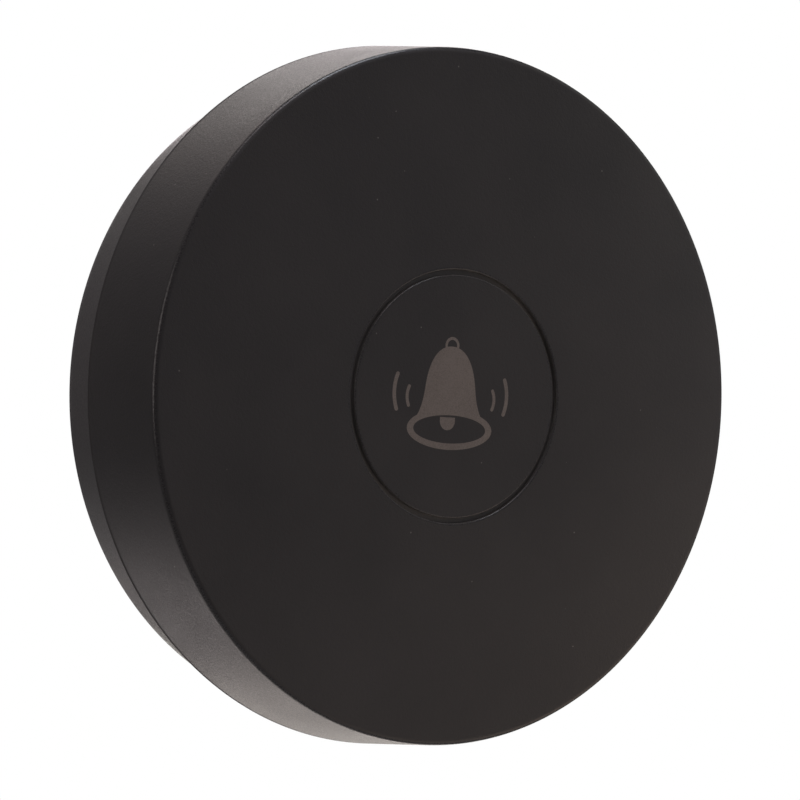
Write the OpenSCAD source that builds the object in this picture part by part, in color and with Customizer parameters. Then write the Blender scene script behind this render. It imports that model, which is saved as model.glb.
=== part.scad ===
// Round wireless doorbell button for a wall, with a twist-off shell and a 12 V cell inside.
// Every piece is drawn lying on its back: z runs from the wall (0) to the front face, y is up.
// upright() then turns it onto the wall: the front faces -Y and +Z is up.

/* [Outline] */
// Diameter of the shell at its rim, beside the seam
rim_d = 60; // [58:0.5:72]
// How much smaller the shell's radius is at the front face than at the rim
face_draft = 0.77; // [0.3:0.01:1.2]
// Rounding of the shell's front edge
edge_round = 0.45; // [0.2:0.05:0.8]
// How far the base is set in behind the shell's rim
base_step = 1.1; // [0.6:0.05:1.4]
// How much smaller the base's radius is at the back than at the seam
base_taper = 0.84; // [0.2:0.02:1.2]
// Rounding of the base's back edge
back_round = 0.3; // [0.2:0.1:1]
// Height of the base's outer wall
base_h = 6.4; // [5.5:0.05:7]
// Open seam between base and shell
seam_gap = 0.15; // [0.1:0.05:0.3]
// Small rounding of the edges at the seam
seam_round = 0.15; // [0.05:0.05:0.3]

/* [Walls] */
// Thickness of the shell's side wall
wall_t = 1.6; // [1.3:0.1:2]
// Thickness of the shell's front wall
front_t = 1.8; // [1.5:0.1:2.4]
// Thickness of the base's floor
floor_t = 1.6; // [1.3:0.1:2.4]
// Thickness of the base's outer wall
base_wall_t = 1.6; // [1.2:0.1:2]
// Thickness of the web between the base's outer wall and its spigot
web_t = 1.65; // [1.2:0.05:2]

/* [Bayonet] */
// Space between the shell's wall and the base's spigot
spigot_space = 2.2; // [1.9:0.1:2.6]
// Thickness of the spigot
spigot_t = 1.3; // [1:0.1:1.6]
// Number of lugs and ears
lug_count = 3; // [3:1:4]
// Width of a shell lug, in degrees
lug_arc = 24; // [18:1:26]
// Width of a base ear, in degrees
ear_arc = 26; // [20:1:28]
// Width of the stop beside each ear, in degrees
stop_arc = 5; // [4:1:8]
// Thickness of a lug
lug_t = 1.2; // [0.9:0.1:1.5]
// Thickness of an ear
ear_t = 1.2; // [0.9:0.1:1.5]
// Running clearance beside the lugs and ears
bayonet_gap = 0.3; // [0.2:0.05:0.4]
// Play between a locked lug and its stop, in degrees
stop_play = 0.6; // [0.4:0.1:1]

/* [Button] */
// Diameter of the opening in the front face
opening_d = 21.3; // [19:0.1:24]
// Groove between the opening and the button
button_gap = 0.45; // [0.3:0.05:0.7]
// Thickness of the lip that keeps the button in
lip_t = 0.4; // [0.4:0.05:0.8]
// Play between the lip and the button's flange
flange_play = 0.05; // [0.05:0.05:0.2]
// How far the flange reaches behind the lip
flange_w = 1.0; // [0.7:0.1:1.4]
// Clearance of the flange in its guide
guide_gap = 0.3; // [0.2:0.05:0.4]
// Wall of the guide collar
collar_t = 1.2; // [0.9:0.1:1.6]
// Height of the guide collar behind the front wall
collar_h = 1.2; // [0.8:0.1:1.5]
// Height of the button's flange and skirt
skirt_h = 2.3; // [2:0.1:2.5]
// Wall of the skirt
skirt_t = 1.1; // [0.8:0.1:1.4]
// Thickness of the button's head
head_t = 1.4; // [1.2:0.1:1.6]
// Thickness of the translucent core's disc
core_t = 0.8; // [0.6:0.1:1]
// Gap round the core's disc
core_gap = 0.15; // [0.1:0.05:0.25]
// Diameter of the core's plunger
plunger_d = 4; // [3:0.1:6]
// Length of the core's plunger
plunger_h = 0.5; // [0.4:0.1:1]
// Gap between the plunger and the switch's stem
plunger_gap = 0.05; // [0.02:0.01:0.1]
// Rounding of the lips of the groove
lip_round = 0.1; // [0.05:0.05:0.2]
// Travel of the button
button_travel = 0.4; // [0.25:0.05:0.5]

/* [Bell symbol] */
// Height of the bell from its loop to its mouth
symbol_h = 9.46; // [7:0.1:10]
// Sideways place of the bell on the button
symbol_x = -0.49; // [-1:0.01:1]
// Height of the bell's middle above the button's middle
symbol_y = 0.06; // [-1:0.01:1]
// Tilt of the bell, in degrees
symbol_tilt = -2.8; // [-10:0.2:10]
// Gap between the symbol and its windows
symbol_gap = 0.02; // [0.01:0.01:0.05]
// Width of the bars that carry the islands inside the symbol
bridge_w = 0.5; // [0.3:0.05:0.6]

/* [Switch] */
// Side of the square switch
switch_w = 6; // [5.5:0.1:7]
// Height of the switch with its cover
switch_h = 3.5; // [3.3:0.1:4]
// Thickness of the metal cover
cover_t = 0.3; // [0.2:0.05:0.4]
// Diameter of the stem
stem_d = 3.5; // [3:0.1:3.8]
// Height of the stem above the cover
stem_h = 0.8; // [0.6:0.1:1]
// Diameter of the stem's flange
stem_flange_d = 4.4; // [4.2:0.1:4.6]
// Clearance round the stem
stem_gap = 0.15; // [0.1:0.05:0.2]
// Thickness of the switch's floor
switch_floor_t = 0.6; // [0.4:0.1:0.8]
// Height of the snap dome
dome_h = 0.35; // [0.25:0.05:0.4]
// Thickness of the snap dome
dome_t = 0.1; // [0.08:0.01:0.15]
// Thickness of the cover's side straps
strap_t = 0.2; // [0.15:0.05:0.3]
// Width of the cover's side straps
strap_w = 2; // [1.5:0.1:3]
// Distance between the two legs on one side
leg_pitch = 4.5; // [3.5:0.1:4.8]
// Width of a leg
leg_w = 0.7; // [0.5:0.1:0.9]
// Height at which a leg leaves the switch
leg_mid = 0.8; // [0.6:0.1:1.2]

/* [Board] */
// Thickness of the circuit board
board_t = 1.2; // [1:0.1:1.6]
// Clearance of the contents inside the base's spigot
swing_gap = 0.5; // [0.4:0.1:0.8]
// Gap between the board's straight edge and the cell
board_gap = 0.75; // [0.7:0.05:1]
// Number of screws that hold the board
boss_count = 3; // [2:1:3]
// Angle between neighbouring bosses
boss_arc = 78; // [70:1:85]
// Distance of the bosses from the board's edge
boss_inset = 4.9; // [4.6:0.1:5.5]
// Diameter of a boss
boss_d = 4.8; // [4:0.1:5.4]
// Diameter of a screw's shank
screw_d = 2; // [1.6:0.1:2.2]
// Clearance round a shank in its boss
screw_gap = 0.03; // [0.02:0.01:0.05]
// Clearance round a shank in the board
board_hole_gap = 0.2; // [0.1:0.05:0.3]
// Length of a shank
screw_l = 4.6; // [4:0.1:5]
// Diameter of a screw's head
screw_head_d = 3.8; // [3.4:0.1:4.2]
// Height of a screw's head
screw_head_h = 1.3; // [1:0.1:1.6]
// Width of the cross in a screw's head
cross_w = 0.5; // [0.4:0.05:0.6]
// Length of the cross in a screw's head
cross_l = 2.2; // [1.8:0.1:2.6]
// Depth of the cross in a screw's head
cross_h = 0.7; // [0.5:0.1:0.9]

/* [Board pieces] */
// Length of the indicator light's package
led_l = 3.5; // [3:0.1:4]
// Width of the indicator light's package
led_w = 2.8; // [2.6:0.1:3]
// Height of the indicator light's package
led_h = 1.9; // [1.5:0.1:2.2]
// Diameter of the indicator light's lens
led_lens_d = 2.2; // [1.8:0.1:2.4]
// Depth of the indicator light's lens
led_lens_h = 0.8; // [0.5:0.1:1]
// Clearance round the lens
led_gap = 0.02; // [0.01:0.01:0.05]
// Height of the indicator light above the switch's middle
led_y = 6.5; // [6:0.1:8]
// Width of the chip's body
chip_w = 3.9; // [3.5:0.1:4.2]
// Length of the chip's body
chip_l = 4.9; // [4.8:0.1:5.2]
// Thickness of the chip's body
chip_h = 1.4; // [1.2:0.1:1.7]
// Gap between the chip and the board
chip_stand = 0.1; // [0.05:0.05:0.2]
// Spacing of the chip's leads
lead_pitch = 1.27; // [1:0.01:1.3]
// Number of leads on each side of the chip
lead_count = 4; // [3:1:4]
// Width of a chip lead
lead_w = 0.42; // [0.3:0.02:0.5]
// Thickness of leads and legs
lead_t = 0.2; // [0.15:0.01:0.25]
// How far a lead reaches out before it bends down
lead_reach = 0.35; // [0.25:0.05:0.5]
// Length of a lead's foot
lead_foot = 0.6; // [0.4:0.05:0.8]
// Sideways place of the chip
chip_x = -8; // [-9:0.1:-7]
// Height of the chip on the board
chip_y = 10; // [9:0.1:11]
// Length of the crystal's base
crystal_l = 12.7; // [12:0.1:13]
// Width of the crystal's base
crystal_w = 4.8; // [4.7:0.1:5]
// Thickness of the crystal's base
crystal_base_t = 0.8; // [0.6:0.1:1]
// How much shorter the crystal's can is than its base
crystal_end = 1.6; // [1:0.1:2]
// How much narrower the crystal's can is than its base
crystal_side = 0.2; // [0.1:0.05:0.4]
// Height of the crystal's can
crystal_h = 3; // [2.5:0.1:3.5]
// Sideways place of the crystal
crystal_x = 8; // [7:0.1:9]
// Height of the crystal on the board
crystal_y = 11; // [10:0.1:12]
// Side of the capacitor's square base
capacitor_w = 4.3; // [4.1:0.1:4.6]
// Thickness of the capacitor's base
capacitor_base_t = 0.8; // [0.6:0.1:1]
// Diameter of the capacitor's can
capacitor_d = 4; // [3.6:0.1:4.1]
// Height of the capacitor's can
capacitor_h = 3.6; // [3:0.1:4]
// Distance of the capacitor inwards from the nearest board screw
capacitor_in = 6.1; // [5:0.1:8]
// Distance of the capacitor from the board's straight edge
capacitor_up = 5.6; // [5:0.1:7]
// Number of chip resistors
resistor_count = 4; // [2:1:4]
// Length of a chip resistor
resistor_l = 1.6; // [1.4:0.1:2]
// Width of a chip resistor
resistor_w = 0.8; // [0.6:0.1:1.2]
// Thickness of a chip resistor
resistor_h = 0.45; // [0.35:0.05:0.6]
// Spacing of the small soldered pieces
small_pitch = 3.4; // [2.6:0.1:3.6]
// Distance of the resistors' row from the board's straight edge
resistor_up = 4.1; // [3:0.1:5]
// Number of chip capacitors
ceramic_count = 3; // [2:1:3]
// Length of a chip capacitor
ceramic_l = 2; // [1.6:0.1:2.4]
// Width of a chip capacitor
ceramic_w = 1.25; // [1:0.05:1.6]
// Thickness of a chip capacitor
ceramic_h = 0.8; // [0.6:0.05:1]
// Height of the chip capacitors' row on the board
ceramic_y = 3; // [2:0.1:4]
// Number of whole turns of the tuning coil
coil_turns = 4; // [3:1:5]
// Wire of the tuning coil
coil_wire = 0.5; // [0.4:0.05:0.6]
// Mean radius of the tuning coil
coil_r = 1.6; // [1.3:0.1:1.9]
// Pitch of the tuning coil
coil_pitch = 1.1; // [1.05:0.05:1.3]
// Sideways place of the tuning coil's first leg
coil_x = 9; // [8:0.1:9.5]
// Height of the tuning coil on the board
coil_y = 2.5; // [1:0.1:4]
// Width of the aerial loop
aerial_w = 1; // [0.6:0.1:1.2]
// Thickness of the aerial loop
aerial_t = 0.1; // [0.05:0.05:0.2]
// Distance of the aerial loop from the board's edge
aerial_inset = 0.6; // [0.4:0.1:0.8]
// How far round the board the aerial loop runs, in degrees
aerial_arc = 200; // [120:5:210]

/* [Cell] */
// Diameter of the cell
cell_d = 10.3; // [10:0.1:11.5]
// Length of the cell with its button
cell_l = 28.5; // [27:0.1:29.5]
// Diameter of the cell's positive button
cell_button_d = 4; // [3.5:0.1:5]
// Height of the cell's positive button
cell_button_h = 1.5; // [1.2:0.1:2]
// Rounding of the can's ends
can_round = 0.5; // [0.3:0.1:0.8]
// Gap between the cell and the base's floor
cell_floor_gap = 0.3; // [0.2:0.05:0.6]
// Gap between the cell and the inside of the front wall
cell_front_gap = 2.0; // [1.5:0.05:2.2]
// Gap between the cell and the round edge of the contents
cell_edge_gap = 0.4; // [0.3:0.05:0.6]
// Gap between the cell and its cradle
cell_gap = 0.15; // [0.1:0.05:0.3]
// Space for the battery spring
spring_l = 3.6; // [3.5:0.1:4]
// Wire of the battery spring
spring_wire = 0.5; // [0.4:0.05:0.55]
// Turns of the battery spring
spring_turns = 3; // [2:1:3]
// Wide radius of the battery spring
spring_wide_r = 2.6; // [2.3:0.1:2.8]
// Narrow radius of the battery spring
spring_narrow_r = 1.7; // [1.5:0.1:2]
// Gap at each end of the battery spring
spring_gap = 0.02; // [0.01:0.01:0.05]
// Thickness of the contact plates
contact_t = 0.3; // [0.2:0.05:0.4]
// Side of the contact plates
contact_w = 7; // [6.2:0.1:7.4]
// Width of the contacts' solder tabs
tab_w = 1.3; // [0.8:0.1:1.4]
// How far the solder tabs reach onto the board
tab_l = 2; // [1:0.1:3]
// Thickness of the cradle's end walls
end_wall_t = 1.5; // [1.2:0.1:1.8]
// How far the cradle reaches past the cell towards the board
cradle_wall = 0.5; // [0.3:0.05:0.6]
// Width of the cradle's stake ledge
ledge_w = 2.8; // [2.6:0.1:3.2]
// Height of the cradle's edge above the cell's axis
grip_h = 2.4; // [2:0.1:3]
// Clearance between the cradle and the guide collar
cradle_gap = 0.3; // [0.2:0.05:0.5]
// Distance of the end walls' foot from the cell's underside
end_wall_foot = 1; // [0.6:0.1:2]
// Diameter of a heat stake
stake_d = 1.6; // [1.2:0.1:1.8]
// Clearance round a heat stake
stake_gap = 0.05; // [0.03:0.01:0.1]
// Diameter of a heat stake's head
stake_head_d = 2.4; // [2:0.1:2.6]
// Height of a heat stake's head
stake_head_h = 0.6; // [0.4:0.1:0.8]
// Distance between the two heat stakes
stake_pitch = 14; // [10:0.5:16]

/* [Wall side] */
// Thickness of the adhesive pad
pad_t = 1; // [0.8:0.1:1.6]
// Diameter of the adhesive pad
pad_d = 48; // [46:0.5:52]
// Diameter of the pad's cut-outs round the screw holes
pad_hole_d = 8; // [7.4:0.1:9]
// Distance between the two wall screw holes
screw_spacing = 36; // [32:0.5:37]
// Diameter of a wall screw hole
wall_hole_d = 3.6; // [3.2:0.1:4.2]
// Diameter of the countersink
sink_d = 7; // [6:0.1:7.2]
// Depth of the countersink
sink_h = 1; // [0.8:0.1:1.1]

/* [Seal] */
// Clearance between the seal and the shell
seal_gap = 0.3; // [0.2:0.05:0.4]
// Gap between the seal and its seat
seal_seat = 0.02; // [0.01:0.01:0.05]

/* [Hidden] */
$fn = 96;

// A cut runs this far past the face that it opens
cut = 0.5;
// A piece that joins a wall runs this far into it
root = 0.6;
// Points on a small rounded edge
round_steps = 5;

// Heights above the wall
floor_z = pad_t + floor_t;
shoulder_z = pad_t + base_h;
seam_z = shoulder_z + seam_gap;
cell_z = floor_z + cell_floor_gap + cell_d / 2;
inner_z = cell_z + cell_d / 2 + cell_front_gap;
front_z = inner_z + front_t;
shell_h = front_z - seam_z;

// The shell's radii
rim_r = rim_d / 2;
face_r = rim_r - face_draft;
function outer_r(z) = rim_r - face_draft * (z - seam_z) / shell_h;
function inner_r(z) = outer_r(z) - wall_t;

// The base's radii
base_r = rim_r - base_step;
back_r = base_r - base_taper;
spigot_r = rim_r - wall_t - spigot_space;
content_r = spigot_r - spigot_t - swing_gap;

// The seal and the bayonet above it
seal_r = (spigot_space - seal_gap) / 2;
lug_z = shoulder_z + 2 * (seal_r + seal_seat) + bayonet_gap;
ear_z = lug_z + lug_t + bayonet_gap;
spigot_z = ear_z + ear_t;
ear_r = inner_r(spigot_z) - bayonet_gap;
lug_turn = 360 / lug_count;
// The twist that frees the lugs from the ears
free_play = 5;
twist = (lug_arc + ear_arc) / 2 + free_play;

// The button's radii and heights
opening_r = opening_d / 2;
head_r = opening_r - button_gap;
flange_r = opening_r + flange_w;
guide_r = flange_r + guide_gap;
collar_r = guide_r + collar_t;
skirt_r = flange_r - skirt_t;
lip_z = front_z - lip_t;
flange_z = lip_z - flange_play;
skirt_z = flange_z - skirt_h;
head_z = front_z - head_t;
core_z = head_z - core_t;
plunger_z = core_z - plunger_h;

// The switch and the board, hung from the button
stem_z = plunger_z - plunger_gap;
cover_z = stem_z - stem_h;
board_z = cover_z - switch_h;
back_z = board_z - board_t;
boss_ring_r = content_r - boss_inset;
boss_h = inner_z - board_z;

// The cell and its contacts, in line along x
row_l = cell_l + spring_l + 2 * (contact_t + end_wall_t);
negative_x = end_wall_t - row_l / 2;
spring_x = negative_x + contact_t;
can_x = spring_x + spring_l;
can_l = cell_l - cell_button_h;
can_end_x = can_x + can_l;
positive_x = can_x + cell_l;
cell_y = cell_d / 2 + cell_edge_gap - sqrt(pow(content_r, 2) - pow(can_end_x, 2));
board_edge_y = cell_y + cell_d / 2 + board_gap;
capacitor_x = capacitor_in - boss_ring_r * sin(boss_arc);
capacitor_y = board_edge_y + capacitor_up;
resistor_y = board_edge_y + resistor_up;
cradle_z = cell_z + grip_h;
ledge_y = cell_y - cell_d / 2 - ledge_w;
stake_y = ledge_y + ledge_w / 2;

// The bell symbol is drawn 9.46 units high
symbol_unit = symbol_h / 9.46;

// Turns a piece from lying on its back to standing against the wall
module upright() {
    rotate([90, 0, 0]) children();
}

// A round piece from its (radius, z) outline
module turned(outline) {
    rotate_extrude() polygon(outline);
}

// Points on an arc, from one angle to another
function arc(centre, r, from, to) = [
    for (i = [0 : round_steps])
        let (a = from + (to - from) * i / round_steps)
        centre + r * [cos(a), sin(a)]
];

// A sector of a ring, centred on the angle at
module ring_sector(r_in, r_out, z, h, at, width) {
    rotate([0, 0, at - width / 2])
        translate([0, 0, z])
        rotate_extrude(angle = width)
        translate([r_in, 0]) square([r_out - r_in, h]);
}

module disc(r, z, h) {
    translate([0, 0, z]) cylinder(r = r, h = h);
}

// A box centred on x and y
module box(size, at) {
    translate([at.x - size.x / 2, at.y - size.y / 2, at.z]) cube(size);
}

// A bar with round ends along x, centred on x and y
module round_bar(l, w, h, at) {
    box([l - w, w, h], at);
    for (side = [-1, 1])
        translate([at.x + side * (l - w) / 2, at.y, at.z]) cylinder(d = w, h = h);
}

// A cylinder along x
module bar_x(r, x, l, y, z) {
    translate([x, y, z]) rotate([0, 90, 0]) cylinder(r = r, h = l);
}

// A gull-wing lead that leaves a body at height mid and stands on a board at height 0
module gull_lead(mid, width) {
    bend = lead_reach + lead_t;
    toe = bend + lead_foot;
    rotate([90, 0, 0])
        linear_extrude(width, center = true)
        polygon([
            [0, mid + lead_t / 2], [bend, mid + lead_t / 2], [bend, lead_t], [toe, lead_t],
            [toe, 0], [lead_reach, 0], [lead_reach, mid - lead_t / 2], [0, mid - lead_t / 2]
        ]);
}

// Leads on both x sides of a body that is body_w wide
module lead_rows(body_w, count, pitch, mid, width) {
    for (turn = [0, 180], i = [0 : count - 1])
        rotate([0, 0, turn])
            translate([body_w / 2, (i - (count - 1) / 2) * pitch, 0])
            gull_lead(mid, width);
}

// Places a piece on the back of the board, with its own z running away from the board
module on_back(x, y) {
    translate([x, y, back_z]) mirror([0, 0, 1]) children();
}

module at_bosses() {
    for (i = [0 : boss_count - 1])
        rotate([0, 0, 90 + (i - (boss_count - 1) / 2) * boss_arc])
            translate([boss_ring_r, 0, 0]) children();
}

module at_stakes() {
    for (side = [-1, 1]) translate([side * stake_pitch / 2, stake_y, 0]) children();
}

module at_wall_screws() {
    for (side = [-1, 1]) translate([side * screw_spacing / 2, 0, 0]) children();
}

// A wire swept along points that turn about the x axis
wire_sides = 6;
wire_steps = 8;
function unit(v) = v / norm(v);
function tangent(pts, i) = unit(pts[min(i + 1, len(pts) - 1)] - pts[max(i - 1, 0)]);
function wire_ring(p, t, r) =
    let (side = unit(cross(t, [1, 0, 0])), up = cross(side, t))
    [
        for (k = [0 : wire_sides - 1])
            let (a = 360 * k / wire_sides)
            p + r * (cos(a) * side + sin(a) * up)
    ];
module wire(pts, r) {
    rings = len(pts);
    corners = [for (i = [0 : rings - 1]) each wire_ring(pts[i], tangent(pts, i), r)];
    sides = [
        for (i = [0 : rings - 2], k = [0 : wire_sides - 1])
            let (a = i * wire_sides + k, b = i * wire_sides + (k + 1) % wire_sides)
            each [[a, b, b + wire_sides], [a, b + wire_sides, a + wire_sides]]
    ];
    last = (rings - 1) * wire_sides;
    ends = [
        for (k = [1 : wire_sides - 2])
            each [[0, k + 1, k], [last, last + k, last + k + 1]]
    ];
    polyhedron(corners, concat(sides, ends));
}
// The least gap of a wire to itself, between points at least half a turn apart
function wire_gap(pts, r) = min([
    for (i = [0 : len(pts) - 1], j = [i + wire_steps / 2 : 1 : len(pts) - 1]) norm(pts[i] - pts[j])
]) - 2 * r;

// Outline of the bell symbol
function curve(a, b, c, d, t) =
    pow(1 - t, 3) * a + 3 * pow(1 - t, 2) * t * b + 3 * (1 - t) * t * t * c + pow(t, 3) * d;
curve_steps = 8;
bell_side = concat(
    [for (i = [0 : curve_steps]) curve([0, 4.12], [1.6, 4.12], [2.35, 2.5], [2.57, 0.6], i / curve_steps)],
    [for (i = [1 : curve_steps]) curve([2.57, 0.6], [2.75, -0.9], [3.2, -1.9], [4, -2.6], i / curve_steps)]
);
// Sideways place of the bell's body and loop above its mouth
body_x = -0.09;
// The hanging loop's place and two radii
loop_y = 4.2;
loop_out_r = 0.72;
loop_in_r = 0.48;
// The mouth's place and the half axes of its two ellipses
mouth_y = -2.82;
mouth_out = [4.35, 1.72];
mouth_in = [3.7, 1.18];
// The clapper's middle, radius and flat top
clapper_mid = [-0.25, -2.13];
clapper_r = 0.77;
clapper_top_y = -1.82;
// Each sound arc's outermost point, radius, half angle and width
sound_arcs = [[5.78, 0.12, 3.9, 21.8, 0.36], [4.47, -0.19, 1.8, 26, 0.3]];
ellipse_steps = 40;
module ellipse(half_axes, grow) {
    polygon([
        for (i = [0 : ellipse_steps - 1])
            let (a = 360 * i / ellipse_steps)
            [(half_axes.x + grow) * cos(a), (half_axes.y + grow) * sin(a)]
    ]);
}
// A sound arc beside the bell: a stroke with round ends, along a radius r whose middle is at x
module sound_arc(x, y, r, half_arc, w) {
    tips = [for (side = [1, -1]) r * [cos(half_arc), side * sin(half_arc)]];
    translate([x - r, y])
        polygon(concat(
            arc([0, 0], r + w / 2, -half_arc, half_arc),
            arc(tips[0], w / 2, half_arc, half_arc + 180),
            arc([0, 0], r - w / 2, half_arc, -half_arc),
            arc(tips[1], w / 2, 180 - half_arc, 360 - half_arc)
        ));
}
// grow widens every stroke, which makes the windows for the symbol
module bell_symbol(grow) {
    g = grow / symbol_unit;
    translate([symbol_x, symbol_y]) rotate(symbol_tilt) scale(symbol_unit) {
        difference() {
            union() {
                translate([body_x, 0]) polygon(concat(
                    [for (p = bell_side) [p.x + g * (p.x > 0 ? 1 : 0), p.y + g]],
                    [for (i = [len(bell_side) - 1 : -1 : 1]) [-bell_side[i].x - g, bell_side[i].y + g]]
                ));
                translate([0, mouth_y]) ellipse(mouth_out, g);
            }
            translate([0, mouth_y]) ellipse(mouth_in, -g);
        }
        difference() {
            translate([body_x, loop_y]) circle(loop_out_r + g);
            translate([body_x, loop_y]) circle(loop_in_r - g);
        }
        polygon(concat(
            [[clapper_mid.x - clapper_r - g, clapper_top_y + g]],
            arc(clapper_mid, clapper_r + g, 180, 360),
            [[clapper_mid.x + clapper_r + g, clapper_top_y + g]]
        ));
        for (side = [0, 1], s = sound_arcs)
            mirror([side, 0]) sound_arc(s[0], s[1], s[2], s[3], s[4] + 2 * g);
    }
}
// Bars below the face that carry the two islands closed in by the symbol: middle, lower end and length
bridge_bars = [[body_x, loop_y, 1.2], [0, mouth_y - 2.2, 1.5]];
module symbol_bridges(width) {
    w = width / symbol_unit;
    translate([symbol_x, symbol_y]) rotate(symbol_tilt) scale(symbol_unit)
        for (bar = bridge_bars)
            translate([bar[0] - w / 2, bar[1]]) square([w, bar[2]]);
}
module symbol_prism(grow) {
    over = grow > 0 ? cut : 0;
    half = head_t / 2;
    translate([0, 0, head_z - over]) linear_extrude(half + over) difference() {
        bell_symbol(grow);
        symbol_bridges(bridge_w - 2 * grow);
    }
    translate([0, 0, head_z + half]) linear_extrude(half + over) bell_symbol(grow);
}

// The drafted shell: face, lip, guide collar, bosses, heat stakes and bayonet lugs
module front_housing() {
    lug_in = spigot_r + bayonet_gap;
    edge = [face_r - edge_round, front_z - edge_round];
    lip = [opening_r + lip_round, front_z - lip_round];
    foot = [rim_r - seam_round, seam_z + seam_round];
    color("#2a2829") upright() difference() {
        union() {
            turned(concat(
                [[inner_r(seam_z), seam_z]],
                arc(foot, seam_round, -90, 0),
                arc(edge, edge_round, 0, 90),
                arc(lip, lip_round, 90, 180),
                [
                    [opening_r, lip_z], [guide_r, lip_z], [guide_r, inner_z - collar_h],
                    [collar_r, inner_z - collar_h], [collar_r, inner_z], [inner_r(inner_z), inner_z]
                ]
            ));
            for (i = [0 : lug_count - 1])
                ring_sector(lug_in, inner_r(lug_z) + root, lug_z, lug_t, 90 + i * lug_turn, lug_arc);
            at_bosses() disc(boss_d / 2, board_z, boss_h + root);
            at_stakes() {
                disc(stake_d / 2, cradle_z - root, inner_z - cradle_z + 2 * root);
                disc(stake_head_d / 2, cradle_z - stake_head_h, stake_head_h);
            }
        }
        at_bosses() disc(screw_d / 2 + screw_gap, board_z - cut, screw_l - board_t + 2 * cut);
    }
}

// The button: a cap with flange and skirt, pierced by the bell
module push_button() {
    edge = [head_r - lip_round, front_z - lip_round];
    color("#2c2a2b") upright() difference() {
        turned(concat(
            [[0, head_z], [skirt_r, head_z], [skirt_r, skirt_z], [flange_r, skirt_z], [flange_r, flange_z]],
            [[head_r, flange_z]],
            arc(edge, lip_round, 0, 90),
            [[0, front_z]]
        ));
        symbol_prism(symbol_gap);
    }
}

// The translucent core: it fills the bell's windows and presses the switch
module symbol_core() {
    color("#564e4c") upright() {
        disc(skirt_r - core_gap, core_z, core_t);
        disc(plunger_d / 2, plunger_z, plunger_h);
        symbol_prism(0);
    }
}

// The base: floor, tapered outer wall, spigot with bayonet ears and stops, wall screw holes
module mounting_base() {
    back = [back_r - back_round, pad_t + back_round];
    shoulder = [base_r - seam_round, shoulder_z - seam_round];
    wall_r = back_r - base_wall_t;
    web_z = shoulder_z - web_t;
    spigot_in = spigot_r - spigot_t;
    stop_at = -(lug_arc + stop_arc) / 2 - stop_play;
    stop_r = ear_r - bayonet_gap;
    stop_h = spigot_z - lug_z - bayonet_gap;
    hole_r = wall_hole_d / 2;
    color("#2d2b2b") upright() difference() {
        union() {
            turned(concat(
                [[0, pad_t]],
                arc(back, back_round, -90, 0),
                arc(shoulder, seam_round, 0, 90),
                [
                    [spigot_r, shoulder_z], [spigot_r, spigot_z], [spigot_in, spigot_z],
                    [spigot_in, web_z], [wall_r, web_z], [wall_r, floor_z], [0, floor_z]
                ]
            ));
            for (i = [0 : lug_count - 1])
                rotate([0, 0, 90 + i * lug_turn]) {
                    ring_sector(spigot_r - root, ear_r, ear_z, ear_t, 0, ear_arc);
                    ring_sector(spigot_r - root, stop_r, lug_z, stop_h, stop_at, stop_arc);
                }
        }
        at_wall_screws() turned([
            [0, pad_t - cut], [hole_r, pad_t - cut], [hole_r, floor_z - sink_h],
            [sink_d / 2, floor_z], [sink_d / 2, floor_z + cut], [0, floor_z + cut]
        ]);
    }
}

// The rubber ring between base and shell
module base_seal() {
    seat = seal_r + seal_seat;
    color("#1c1c1c") upright()
        translate([0, 0, shoulder_z + seat])
        rotate_extrude() translate([spigot_r + seat, 0]) circle(seal_r);
}

// The foam pad on the back, punched for the wall screws
module adhesive_pad() {
    color("#d8d6d0") upright() difference() {
        disc(pad_d / 2, 0, pad_t);
        at_wall_screws() disc(pad_hole_d / 2, -cut, pad_t + 2 * cut);
    }
}

// The circuit board, cut off straight beside the cell
module circuit_board() {
    color("#2f6b3c") upright() difference() {
        intersection() {
            disc(content_r, back_z, board_t);
            translate([-rim_r, board_edge_y, back_z - cut]) cube([rim_d, rim_d, board_t + 2 * cut]);
        }
        at_bosses() disc(screw_d / 2 + board_hole_gap, back_z - cut, board_t + 2 * cut);
    }
}

// The screws that hold the board to the bosses
module board_screws() {
    head_back_z = back_z - screw_head_h;
    color("#b9bbbd") upright() at_bosses() difference() {
        union() {
            disc(screw_d / 2, head_back_z, screw_head_h + screw_l);
            disc(screw_head_d / 2, head_back_z, screw_head_h);
        }
        for (turn = [0, 90])
            rotate([0, 0, turn]) box([cross_l, cross_w, cross_h + cut], [0, 0, head_back_z - cut]);
    }
}

// The switch's moulded body, with a well for the dome and the stem
module switch_base() {
    well_z = board_z + switch_floor_t;
    color("#202022") upright() difference() {
        box([switch_w, switch_w, switch_h - cover_t], [0, 0, board_z]);
        disc(stem_flange_d / 2 + stem_gap, well_z, switch_h + cut);
    }
}

// The switch's metal cover, with a strap down two sides
module switch_cover() {
    color("#c3c5c6") upright() difference() {
        union() {
            box([switch_w, switch_w + 2 * strap_t, cover_t], [0, 0, cover_z - cover_t]);
            for (side = [-1, 1])
                box([strap_w, strap_t, switch_h - cover_t], [0, side * (switch_w + strap_t) / 2, board_z]);
        }
        disc(stem_d / 2 + stem_gap, board_z, switch_h + cut);
    }
}

// The switch's plunger, kept in by its flange
module switch_stem() {
    flange_foot_z = board_z + switch_floor_t + dome_h + button_travel + plunger_gap;
    flange_top_z = cover_z - cover_t - plunger_gap;
    color("#e4e2dc") upright() {
        disc(stem_flange_d / 2, flange_foot_z, flange_top_z - flange_foot_z);
        disc(stem_d / 2, flange_foot_z, stem_z - flange_foot_z);
    }
}

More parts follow.
